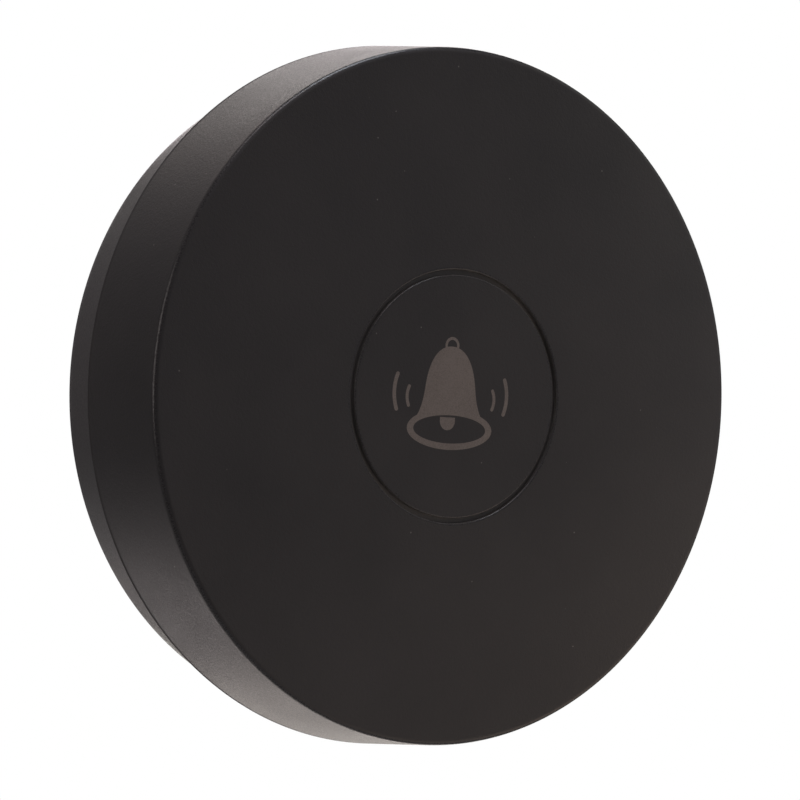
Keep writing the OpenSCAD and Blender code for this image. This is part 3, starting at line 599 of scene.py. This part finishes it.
bpy.ops.object.select_all(action="DESELECT")
bpy.ops.mesh.primitive_torus_add(
    location=(0, 0, seal_z), major_radius=seal_ring_r, minor_radius=seal_r,
    major_segments=seal_steps, minor_segments=seal_sides,
)
seal = bpy.context.object
seal.name = seal.data.name = "seal"
bpy.ops.object.transform_apply(location=True)
bpy.ops.object.mode_set(mode="EDIT")
pick(on_ring(seal_ring_r + seal_r, seal_z), "EDGE")
bpy.ops.mesh.bevel(offset=flash_w, segments=1, affect="EDGES")
bpy.ops.mesh.select_mode(type="FACE")
bpy.ops.mesh.extrude_region_shrink_fatten(TRANSFORM_OT_shrink_fatten={"value": flash_h})
bpy.ops.object.mode_set(mode="OBJECT")
place(seal, "base", "seal_rubber", "base_seal")

# %% [markdown]
# The pad is die-cut foam with an adhesive film on both sides. The films keep their size while the squeezed
# foam between them bulges a little, so its edge is drawn as two thin layers and a rounded middle.

# %% Adhesive pad
pad_r, film_t, foam_r, pad_hole_r = 24.0, 0.08, 23.9, 4.0
bulge, bulge_round = 0.16, 0.4

pad = turned("pad", [
    (0, 0, 0),
    (pad_r, 0, 0),
    (pad_r, film_t, 0),
    (foam_r, film_t, 0),
    (foam_r + bulge, pad_t / 2, bulge_round),
    (foam_r, pad_t - film_t, 0),
    (pad_r, pad_t - film_t, 0),
    (pad_r, pad_t, 0),
    (0, pad_t, 0),
])
for x in (-screw_x, screw_x):
    combine(pad, rod("punch", pad_hole_r, x, 0, -past, pad_t + past), "DIFFERENCE")
place(pad, "base", "pad_foam", "adhesive_pad")

# %% [markdown]
# ## Shared effects
# Moulded plastic is never one flat colour. Four effects return on several materials, so each is a node group
# that reads Object coordinates, in metres:
# - grain: the fine matt texture that the mould was etched with;
# - smudges: broad, faint clouds left by handling;
# - dust: a few tiny pale specks;
# - ring: a band along a circle round the axis, for an edge or a groove.
#
# The same nodes could be copied into every material, but a group is changed in one place.

# %% Helpers for nodes
def node(tree, kind, **values):
    """Adds a node. A value whose name matches an input is set on it, any other is set on the node."""
    made = tree.nodes.new(kind)
    for name, value in values.items():
        label = name.replace("_", " ").title()
        if label in made.inputs:
            made.inputs[label].default_value = value
        else:
            setattr(made, name, value)
    return made


def object_place(tree):
    """The Object coordinates of a tree."""
    return tree.nodes.new("ShaderNodeTexCoord").outputs["Object"]


def effect(name, inputs, outputs):
    """A shader node group with float inputs and outputs, and its object coordinates."""
    tree = bpy.data.node_groups.new(name, "ShaderNodeTree")
    for label, value in inputs.items():
        socket = tree.interface.new_socket(label, in_out="INPUT", socket_type="NodeSocketFloat")
        socket.default_value = value
    for label in outputs:
        tree.interface.new_socket(label, in_out="OUTPUT", socket_type="NodeSocketFloat")
    group_in = tree.nodes.new("NodeGroupInput")
    group_out = tree.nodes.new("NodeGroupOutput")
    return tree, group_in.outputs, group_out.inputs, object_place(tree)


def feed(tree, socket, value):
    """Links a socket, or sets a number or a colour, on an input."""
    if isinstance(value, bpy.types.NodeSocket):
        tree.links.new(value, socket)
    else:
        socket.default_value = value


def math_node(tree, operation, a, b=0.0, clamp=False):
    """A Math node whose inputs are sockets or numbers."""
    made = tree.nodes.new("ShaderNodeMath")
    made.operation, made.use_clamp = operation, clamp
    feed(tree, made.inputs[0], a)
    feed(tree, made.inputs[1], b)
    return made.outputs[0]


def scaled(tree, socket, factor, offset=0.0):
    """A socket times a factor plus an offset."""
    return math_node(tree, "ADD", math_node(tree, "MULTIPLY", socket, factor), offset)


# %% [markdown]
# The etched mould leaves a fine, uneven matt texture, well under half a millimetre across. One noise would
# look too even, so a coarse and a fine one are mixed to the height. The fine one alone gives the specks in
# colour and gloss.

# %% Grain
noise_middle = 0.5
coarse_share, fine_share, fine_ratio = 0.65, 0.35, 2.3


def noise(tree, where, scale, detail, roughness):
    """A Noise texture. The scale is a socket, in repeats per metre."""
    made = node(tree, "ShaderNodeTexNoise", detail=detail, roughness=roughness)
    tree.links.new(where, made.inputs["Vector"])
    tree.links.new(scale, made.inputs["Scale"])
    return made.outputs["Fac"]


grain, g_in, g_out, g_where = effect("moulded grain", {"Size": 0.16}, ("Height", "Speck"))
per_metre = math_node(grain, "DIVIDE", mm_per_m, g_in["Size"])
finer = math_node(grain, "MULTIPLY", per_metre, fine_ratio)
coarse = noise(grain, g_where, per_metre, detail=2.0, roughness=0.6)
fine = noise(grain, g_where, finer, detail=1.0, roughness=0.5)
coarse_part = math_node(grain, "MULTIPLY", coarse, coarse_share)
fine_part = math_node(grain, "MULTIPLY", fine, fine_share)
grain.links.new(math_node(grain, "ADD", coarse_part, fine_part), g_out["Height"])
grain.links.new(math_node(grain, "SUBTRACT", fine, noise_middle), g_out["Speck"])
print("effect:", grain.name)

# %% [markdown]
# Handling leaves broad, faint clouds: one large noise. Dust lies in single grains. A Voronoi texture splits
# space into cells, a few cells are chosen by their random colour, and only the middle of a chosen cell is a
# speck. Scattered objects would do it too, but hundreds of them would have to ride on every moving piece.

# %% Smudges and dust
smudges, s_in, s_out, s_where = effect("smudges", {"Size": 12.0}, ("Cloud",))
per_metre = math_node(smudges, "DIVIDE", mm_per_m, s_in["Size"])
cloud = noise(smudges, s_where, per_metre, detail=3.0, roughness=0.55)
smudges.links.new(math_node(smudges, "SUBTRACT", cloud, noise_middle), s_out["Cloud"])

dust, d_in, d_out, d_where = effect("dust", {"Spacing": 0.9, "Share": 0.05, "Speck": 0.09}, ("Mask",))
cells = node(dust, "ShaderNodeTexVoronoi", randomness=1.0)
dust.links.new(d_where, cells.inputs["Vector"])
dust.links.new(math_node(dust, "DIVIDE", mm_per_m, d_in["Spacing"]), cells.inputs["Scale"])
chance = node(dust, "ShaderNodeSeparateColor")
dust.links.new(cells.outputs["Color"], chance.inputs["Color"])
chosen = math_node(dust, "LESS_THAN", chance.outputs["Red"], d_in["Share"])
reach = math_node(dust, "DIVIDE", d_in["Speck"], d_in["Spacing"])
from_middle = math_node(dust, "DIVIDE", cells.outputs["Distance"], reach)
near = math_node(dust, "SUBTRACT", 1.0, from_middle, clamp=True)
dust.links.new(math_node(dust, "MULTIPLY", chosen, near), d_out["Mask"])
print("effects:", smudges.name, dust.name)

# %% [markdown]
# Edges that run round the axis are handled smoother than the faces, the rim's edge at the seam is matter than
# the wall, and the groove round the button is painted paler, a painted fill light against its shade. All of
# these lie along circles, so one mask serves them: it is full on a circle of a given radius and height above
# the wall, and fades over its reach.
# A painted mask would need a picture, and it would not follow the sizes.

# %% Ring
ring, r_in, r_out, r_where = effect("ring", {"Radius": 29.0, "Depth": 16.5, "Reach": 0.6}, ("Mask",))
axes = node(ring, "ShaderNodeSeparateXYZ")
ring.links.new(r_where, axes.inputs[0])


def length_of(tree, a, b):
    """The length of the hypotenuse over two sockets."""
    squares = [math_node(tree, "MULTIPLY", side, side) for side in (a, b)]
    return math_node(tree, "SQRT", math_node(tree, "ADD", *squares))


radius = length_of(ring, axes.outputs["X"], axes.outputs["Z"])
off_r = math_node(ring, "SUBTRACT", math_node(ring, "MULTIPLY", radius, mm_per_m), r_in["Radius"])
off_y = math_node(ring, "ADD", math_node(ring, "MULTIPLY", axes.outputs["Y"], mm_per_m), r_in["Depth"])
gap = length_of(ring, off_r, off_y)
band = math_node(ring, "SUBTRACT", 1.0, math_node(ring, "DIVIDE", gap, r_in["Reach"]), clamp=True)
ring.links.new(band, r_out["Mask"])
print("effect:", ring.name)

# %% [markdown]
# ## The moulded black
# A material is put together from the effects with a few small helpers: one puts an effect in, one mixes two
# colours, and one turns a height into bumps.

# %% Helpers for materials
def place_effect(tree, group, **values):
    """Puts an effect into a material with its own values."""
    made = tree.nodes.new("ShaderNodeGroup")
    made.node_tree = group
    for label, value in values.items():
        made.inputs[label].default_value = value
    return made.outputs


def blend_colour(tree, factor, first, second):
    """Mixes two colours, given as sockets or values, by a socket."""
    made = node(tree, "ShaderNodeMix", data_type="RGBA")
    tree.links.new(factor, made.inputs["Factor"])
    for socket, value in zip((made.inputs[6], made.inputs[7]), (first, second)):
        feed(tree, socket, value if isinstance(value, bpy.types.NodeSocket) else (*value, 1.0))
    return made.outputs[2]


def add_bump(tree, shader, height, strength, distance):
    """Feeds a height into the shader's normal. The distance is in metres."""
    relief = node(tree, "ShaderNodeBump", strength=strength, distance=distance)
    tree.links.new(height, relief.inputs["Height"])
    tree.links.new(relief.outputs["Normal"], shader.inputs["Normal"])


def new_material(name):
    """An empty procedural material: its tree and its Principled shader."""
    made = bpy.data.materials.new(name + "_look")
    made.use_nodes = True
    return made, made.node_tree, made.node_tree.nodes["Principled BSDF"]


# %% [markdown]
# One recipe serves the shell, the cap, the base, the smoky bell and the small moulded pieces. The colour
# wanders a little with the smudges and the grain. Dust adds pale specks, and a ring can paint a pale film,
# which is painted fill light against shade.
# The roughness follows the smudges and the grain, drops on a rubbed edge and rises on a matt one. The grain
# is also the bump. Only the numbers differ.

# %% Recipe for moulded plastic
cloud_swing, gloss_swing, gloss_speck = 1.6, 0.16, 0.45
# The pale colour of the dust specks, also used for the painted fill light of the rings.
dust_and_painted_light_colour = (0.32, 0.30, 0.28)
grain_depth = 0.000028


def moulded(
    name, dark, light, rough, grain_size, bump,
    edges=(), painted_light_rings=(), dust_share=0.05, cloud_size=12.0, speckle=0.8,
):
    """Matt moulded plastic. An edge, or a ring of painted fill light, is a radius, a height, a reach and a
    strength.
    """
    made, tree, shader = new_material(name)
    fibre = place_effect(tree, grain, Size=grain_size)
    handled = place_effect(tree, smudges, Size=cloud_size)["Cloud"]
    dust_and_painted_light = place_effect(tree, dust, Share=dust_share)["Mask"]
    # Each ring paints a paler film: painted fill light that lifts the shade in a recess.
    for radius, depth, reach, amount in painted_light_rings:
        painted_fill = place_effect(tree, ring, Radius=radius, Depth=depth, Reach=reach)["Mask"]
        dust_and_painted_light = math_node(tree, "ADD", dust_and_painted_light, math_node(tree, "MULTIPLY", painted_fill, amount), clamp=True)
    clouds = scaled(tree, handled, cloud_swing, noise_middle)
    vary = math_node(tree, "ADD", clouds, scaled(tree, fibre["Speck"], speckle), clamp=True)
    colour = blend_colour(tree, vary, dark, light)
    # Dust specks and the painted fill light are blended in with the same pale colour.
    tree.links.new(blend_colour(tree, dust_and_painted_light, colour, dust_and_painted_light_colour), shader.inputs["Base Color"])
    finish = scaled(tree, handled, gloss_swing, rough)
    finish = math_node(tree, "ADD", finish, scaled(tree, fibre["Speck"], gloss_speck))
    for radius, depth, reach, smoother in edges:
        rubbed = place_effect(tree, ring, Radius=radius, Depth=depth, Reach=reach)["Mask"]
        finish = math_node(tree, "SUBTRACT", finish, math_node(tree, "MULTIPLY", rubbed, smoother))
    tree.links.new(finish, shader.inputs["Roughness"])
    add_bump(tree, shader, fibre["Height"], bump, grain_depth)
    return made


# %% [markdown]
# The shell and the cap are the same matt black. The base comes from another mould and is a little lighter and
# smoother. The bell is a brownish smoke with stronger specks, because light scatters in it. The front edges
# are rubbed, the rim's edge at the seam is matt, which draws its thin dark line, and the groove is painted
# paler, a painted fill light against its shade.

# %% Shell, cap, bell and base
black = (0.0420, 0.0392, 0.0400), (0.0600, 0.0552, 0.0552)
smoke = (0.224, 0.190, 0.169), (0.290, 0.247, 0.223)
base_tones = (0.0440, 0.0407, 0.0413), (0.0627, 0.0573, 0.0573)

# Each ring is a radius, a height above the wall, a reach and a strength.
groove_r, groove_floor_z, groove_side_z = (cap_r + opening_r) / 2, flange_z + 0.05, front_z - 0.28
# These rings paint the groove's floor and walls paler: painted fill light against the groove's shade.
groove_painted_light = (
    (groove_r, groove_floor_z, 0.5, 0.5),
    (cap_r, groove_side_z, 0.3, 0.25),
    (opening_r, groove_side_z, 0.3, 0.25),
)
front_rub = (face_r - 0.1, front_z - 0.16, 0.35, 0.28)
opening_rub = (opening_r, front_z, 0.3, 0.36)
cap_rub = (cap_r, front_z, 0.3, 0.3)
rim_matt = (rim_r, seam_z + 0.05, 0.45, -0.75)
back_rub = (back_r, pad_t + 0.2, 0.8, 0.1)

looks = {
    "shell_black": moulded(
        "shell_black", *black, rough=0.50, grain_size=0.26, bump=1.0, speckle=0.3,
        painted_light_rings=groove_painted_light, edges=(front_rub, opening_rub, rim_matt),
    ),
    "button_black": moulded(
        "button_black", *black, rough=0.50, grain_size=0.26, bump=1.0, speckle=0.3,
        painted_light_rings=groove_painted_light, edges=(cap_rub,),
    ),
    "symbol_smoke": moulded(
        "symbol_smoke", *smoke, rough=0.48, grain_size=0.2, bump=0.5, speckle=3.0,
        dust_share=0.02, cloud_size=5.0,
    ),
    "base_black": moulded(
        "base_black", *base_tones, rough=0.45, grain_size=0.28, bump=1.0, edges=(back_rub,),
    ),
}
print("moulded finishes:", sorted(looks))

# %% [markdown]
# ## The pieces inside
# They can't be seen while the bell hangs on its wall, but the part can be opened, so each gets a finish of
# its own. The small moulded pieces and the rubber use the recipe above, with other numbers.

# %% Small moulded pieces and rubber
small_pieces = {
    # two colours, the roughness, the grain's size in mm and the strength of its bumps
    "part_black": ((0.008, 0.008, 0.009), (0.014, 0.014, 0.015), 0.55, 0.1, 0.4),
    "cradle_grey": ((0.034, 0.034, 0.037), (0.048, 0.048, 0.051), 0.5, 0.2, 0.6),
    "stem_white": ((0.62, 0.60, 0.55), (0.74, 0.72, 0.67), 0.42, 0.12, 0.3),
    "led_white": ((0.76, 0.75, 0.71), (0.86, 0.85, 0.82), 0.4, 0.1, 0.3),
    "ceramic_tan": ((0.30, 0.20, 0.10), (0.42, 0.30, 0.17), 0.6, 0.08, 0.5),
    "seal_rubber": ((0.009, 0.009, 0.009), (0.015, 0.015, 0.015), 0.72, 0.1, 0.5),
}
for slot, values in small_pieces.items():
    looks[slot] = moulded(slot, *values)
print("finishes so far:", len(looks))

# %% [markdown]
# The springs, contacts and cans are rolled or drawn metal, which keeps fine streaks along the way it was
# pulled. A noise that is squeezed less along one axis gives such streaks in colour, gloss and bumps.

# %% Metals
streak_swing, streak_bump, streak_depth = 0.2, 0.25, 0.00001


def metal(name, dark, light, rough, stretch):
    """Drawn or rolled metal: streaks along one axis in colour and roughness."""
    made, tree, shader = new_material(name)
    shader.inputs["Metallic"].default_value = 1.0
    along = node(tree, "ShaderNodeMapping")
    along.inputs["Scale"].default_value = stretch
    tree.links.new(object_place(tree), along.inputs["Vector"])
    streaks = node(tree, "ShaderNodeTexNoise", scale=1.0, detail=3.0, roughness=0.6)
    tree.links.new(along.outputs["Vector"], streaks.inputs["Vector"])
    streak = streaks.outputs["Fac"]
    tree.links.new(blend_colour(tree, streak, dark, light), shader.inputs["Base Color"])
    tree.links.new(scaled(tree, streak, streak_swing, rough - streak_swing / 2), shader.inputs["Roughness"])
    add_bump(tree, shader, streak, streak_bump, streak_depth)
    return made


metals = {
    # two colours, the roughness, and the noise's repeats per metre along x, y and z
    "steel": ((0.46, 0.46, 0.46), (0.62, 0.62, 0.61), 0.32, (900, 6000, 6000)),
    "can_metal": ((0.55, 0.55, 0.54), (0.70, 0.70, 0.69), 0.26, (7000, 7000, 900)),
    "copper": ((0.55, 0.24, 0.10), (0.74, 0.38, 0.19), 0.3, (2500, 2500, 2500)),
}
for slot, values in metals.items():
    looks[slot] = metal(slot, *values)
print("metals:", sorted(metals))

# %% [markdown]
# The board is green lacquer over copper tracks. The tracks are a brick pattern of narrow lines, a little
# lighter and raised. Modelled tracks would be truer, but nobody sees them behind the shell. The lacquer's
# colour and gloss wander with the smudges, as those of the cell and the lens do below.

# %% Board
track_colour, track_bump, track_depth = (0.035, 0.180, 0.070), 0.5, 0.00003


def clouded(tree, shader, dark, light, size, swing, rough, gloss_swing):
    """Sets a roughness that wanders with the smudges, and gives a colour that does."""
    cloud = place_effect(tree, smudges, Size=size)["Cloud"]
    tree.links.new(scaled(tree, cloud, gloss_swing, rough), shader.inputs["Roughness"])
    return blend_colour(tree, scaled(tree, cloud, swing, noise_middle), dark, light)


made, tree, shader = new_material("board_green")
flat = node(tree, "ShaderNodeMapping")
flat.inputs["Rotation"].default_value = (math.pi / 2, 0, 0)
tree.links.new(object_place(tree), flat.inputs["Vector"])
bricks = node(tree, "ShaderNodeTexBrick", scale=180.0, mortar_size=0.012, mortar_smooth=0.2)
tree.links.new(flat.outputs["Vector"], bricks.inputs["Vector"])
tracks = bricks.outputs["Fac"]
lacquer = clouded(
    tree, shader, (0.012, 0.085, 0.030), (0.018, 0.115, 0.042), size=4.0, swing=1.5, rough=0.32, gloss_swing=0.2
)
tree.links.new(blend_colour(tree, tracks, lacquer, track_colour), shader.inputs["Base Color"])
add_bump(tree, shader, tracks, track_bump, track_depth)
looks["board_green"] = made
print("finish:", made.name)

# %% [markdown]
# The cell has a dark printed jacket and bare metal ends. Both are one solid, so they are set apart by the
# place along the cell's axis: metal outside the jacket's two ends, print between them.

# %% Cell jacket
jacket_from, jacket_to = -0.0128, 0.0143
bare_metal = (0.62, 0.61, 0.59)

made, tree, shader = new_material("cell_jacket")
axes = node(tree, "ShaderNodeSeparateXYZ")
tree.links.new(object_place(tree), axes.inputs[0])
after = math_node(tree, "GREATER_THAN", axes.outputs["X"], jacket_from)
before = math_node(tree, "LESS_THAN", axes.outputs["X"], jacket_to)
covered = math_node(tree, "MULTIPLY", after, before)
jacket = clouded(
    tree, shader, (0.035, 0.045, 0.065), (0.055, 0.068, 0.092), size=6.0, swing=1.2, rough=0.34, gloss_swing=0.2
)
tree.links.new(blend_colour(tree, covered, bare_metal, jacket), shader.inputs["Base Color"])
tree.links.new(math_node(tree, "SUBTRACT", 1.0, covered), shader.inputs["Metallic"])
looks["cell_jacket"] = made
print("finish:", made.name)

# %% [markdown]
# The lens of the light is clear resin, cast in one go, so it is almost even. The pad's foam is pale and matt
# with open pores, for which the grain is used again at about twice the shell's size.

# %% Lens and foam
foam_dark, foam_light = (0.56, 0.55, 0.51), (0.72, 0.71, 0.67)
foam_cloud, foam_swing, foam_rough, foam_gloss_swing = 9.0, 1.2, 0.75, 0.3
pore_size, pore_bump, pore_depth = 0.5, 0.7, 0.00008

made, tree, shader = new_material("lens_clear")
shader.inputs["Transmission Weight"].default_value = 0.85
shader.inputs["IOR"].default_value = 1.5
resin = clouded(
    tree, shader, (0.80, 0.86, 0.92), (0.92, 0.95, 0.97), size=1.0, swing=1.0, rough=0.12, gloss_swing=0.1
)
tree.links.new(resin, shader.inputs["Base Color"])
looks["lens_clear"] = made

made, tree, shader = new_material("pad_foam")
pores = place_effect(tree, grain, Size=pore_size)
cloud = place_effect(tree, smudges, Size=foam_cloud)["Cloud"]
vary = math_node(tree, "ADD", scaled(tree, cloud, foam_swing, noise_middle), pores["Speck"], clamp=True)
tree.links.new(blend_colour(tree, vary, foam_dark, foam_light), shader.inputs["Base Color"])
tree.links.new(scaled(tree, cloud, foam_gloss_swing, foam_rough), shader.inputs["Roughness"])
add_bump(tree, shader, pores["Height"], pore_bump, pore_depth)
looks["pad_foam"] = made
print("finishes:", len(looks))

# %% [markdown]
# Every new piece takes the finish of its slot, and so does every solid that stays in view. The record names
# the slot of each solid.

# %% Put the finishes on
new_pieces = {
    shell: "shell_black", cap: "button_black", core: "symbol_smoke", base: "base_black", seal: "seal_rubber",
    pad: "pad_foam",
}
for piece, slot in new_pieces.items():
    piece.data.materials.clear()
    piece.data.materials.append(looks[slot])
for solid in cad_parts.values():
    for material_slot in solid.material_slots:
        material_slot.material = looks[material_slot.material.name]
print("finished pieces:", len(new_pieces), "finished solids:", len(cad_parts))

# %% [markdown]
# ## The studio
# The picture has a pure white background and no shadow. A bright white room would turn the black plastic
# grey, so the world and the floor are white to the camera only. Every other ray meets a plain pale floor,
# well below, and a dim, slightly blue room.

# %% Floor and world
floor_drop, floor_size = 0.8, 12
room_light, room_colour = 0.055, (0.85, 0.92, 1.0, 1.0)
white = (1.0, 1.0, 1.0, 1.0)
bpy.context.scene.view_settings.view_transform = "Standard"


def white_to_camera(tree, white_shader, other_shader, output):
    """Shows one shader to the camera and another one to every other ray."""
    path = node(tree, "ShaderNodeLightPath")
    choose = node(tree, "ShaderNodeMixShader")
    tree.links.new(path.outputs["Is Camera Ray"], choose.inputs[0])
    tree.links.new(other_shader.outputs[0], choose.inputs[1])
    tree.links.new(white_shader.outputs[0], choose.inputs[2])
    tree.links.new(choose.outputs[0], tree.nodes[output].inputs["Surface"])


bpy.ops.object.select_all(action="DESELECT")
bpy.ops.mesh.primitive_plane_add(size=floor_size, location=(0, 0, -floor_drop))
floor = bpy.context.object
floor.name = "floor"
made, tree, shader = new_material("floor_white")
shader.inputs["Base Color"].default_value = (0.8, 0.8, 0.8, 1.0)
shader.inputs["Roughness"].default_value = 0.9
glow = node(tree, "ShaderNodeEmission", color=white, strength=1.0)
white_to_camera(tree, glow, shader, "Material Output")
floor.data.materials.append(made)

world = bpy.data.worlds.new("studio")
bpy.context.scene.world = world
world.use_nodes = True
tree = world.node_tree
backdrop = tree.nodes["Background"]
backdrop.inputs["Color"].default_value = white
room = node(tree, "ShaderNodeBackground", color=room_colour, strength=room_light)
white_to_camera(tree, backdrop, room, "World Output")
print("floor at", -floor_drop, "m")

# %% [markdown]
# Soft boxes do the rest. One large light would brighten the whole wall evenly, but the picture's wall is
# bright at its upper and lower left and black between, so many small lamps are used:
# - the back lamps graze the wall, and the two base lamps light the strip behind the seam;
# - top, top_left and left draw the fine line along the front edge;
# - the front lamps and near_right_low give the face its tone, a little warmer towards the lower right;
# - the edge lamps stand close, so that only the face's right edge gets lighter.
#
# Each lamp looks at the middle of the object. Its turn is counted from the front, positive to the right.

# %% Soft boxes
lamps = (
    # name, turn, rise, width, height (degrees, as seen from the object), metres away, watts, colour
    ("back_high", 155, 40, 32, 18, 0.8, 1.04, (1.0, 0.94, 0.90)),
    ("back_left_high", 182, 38, 20, 40, 0.8, 0.18, (1.0, 0.92, 0.88)),
    ("back_left_top", 195, 52, 18, 24, 0.8, 0.38, (1.0, 0.83, 0.77)),
    ("back_right", 148, 20, 30, 18, 0.8, 1.15, (1.0, 0.90, 0.91)),
    ("back_right_low", 150, -25, 30, 20, 0.8, 0.76, (1.0, 0.95, 0.87)),
    ("back_low", 157, -48, 36, 20, 0.8, 1.43, (1.0, 0.88, 0.83)),
    ("back_left_low", 194, -35, 18, 18, 0.8, 0.57, (1.0, 0.90, 0.89)),
    ("back_left", -165, 6, 20, 24, 0.8, 0.09, (1.0, 0.90, 0.91)),
    ("base_high", 184, 20, 16, 14, 0.8, 0.045, (1.0, 0.95, 0.95)),
    ("base_low", 188, -18, 16, 14, 0.8, 0.050, (1.0, 0.97, 0.96)),
    ("top", 65, 78, 22, 22, 0.8, 1.9, (0.86, 0.91, 1.0)),
    ("top_left", -30, 70, 24, 18, 0.8, 0.78, (1.0, 0.90, 0.92)),
    ("front_high", 25, 35, 50, 40, 0.8, 0.50, (1.0, 0.89, 0.92)),
    ("front_right", 50, -8, 50, 45, 0.8, 0.18, (0.74, 0.84, 1.0)),
    ("near_right_low", 40, -35, 40, 40, 0.2, 0.044, (1.0, 0.81, 0.67)),
    ("edge_right", 60, 0, 12, 60, 0.052, 0.0007, (0.95, 0.92, 0.92)),
    ("edge_right_high", 58, 32, 16, 40, 0.07, 0.0016, (0.98, 0.98, 0.85)),
    ("edge_right_low", 58, -30, 16, 40, 0.07, 0.0024, (1.0, 0.78, 0.58)),
    ("left", -86, 11, 28, 36, 0.8, 0.95, (1.0, 0.90, 0.88)),
)
for name, turn, rise, wide, tall, distance, watts, colour in lamps:
    turn, rise = math.radians(turn), math.radians(rise)
    level = math.cos(rise)
    towards = Vector((math.sin(turn) * level, -math.cos(turn) * level, math.sin(rise)))
    lamp = bpy.data.lights.new(name, "AREA")
    lamp.shape, lamp.energy, lamp.color = "RECTANGLE", watts, colour
    lamp.size = 2 * distance * math.tan(math.radians(wide) / 2)
    lamp.size_y = 2 * distance * math.tan(math.radians(tall) / 2)
    holder = bpy.data.objects.new(name, lamp)
    bpy.context.scene.collection.objects.link(holder)
    holder.location = towards * distance
    holder.rotation_euler = (-towards).to_track_quat("-Z", "Y").to_euler()
    holder.visible_camera = False
print("soft boxes:", len(lamps))
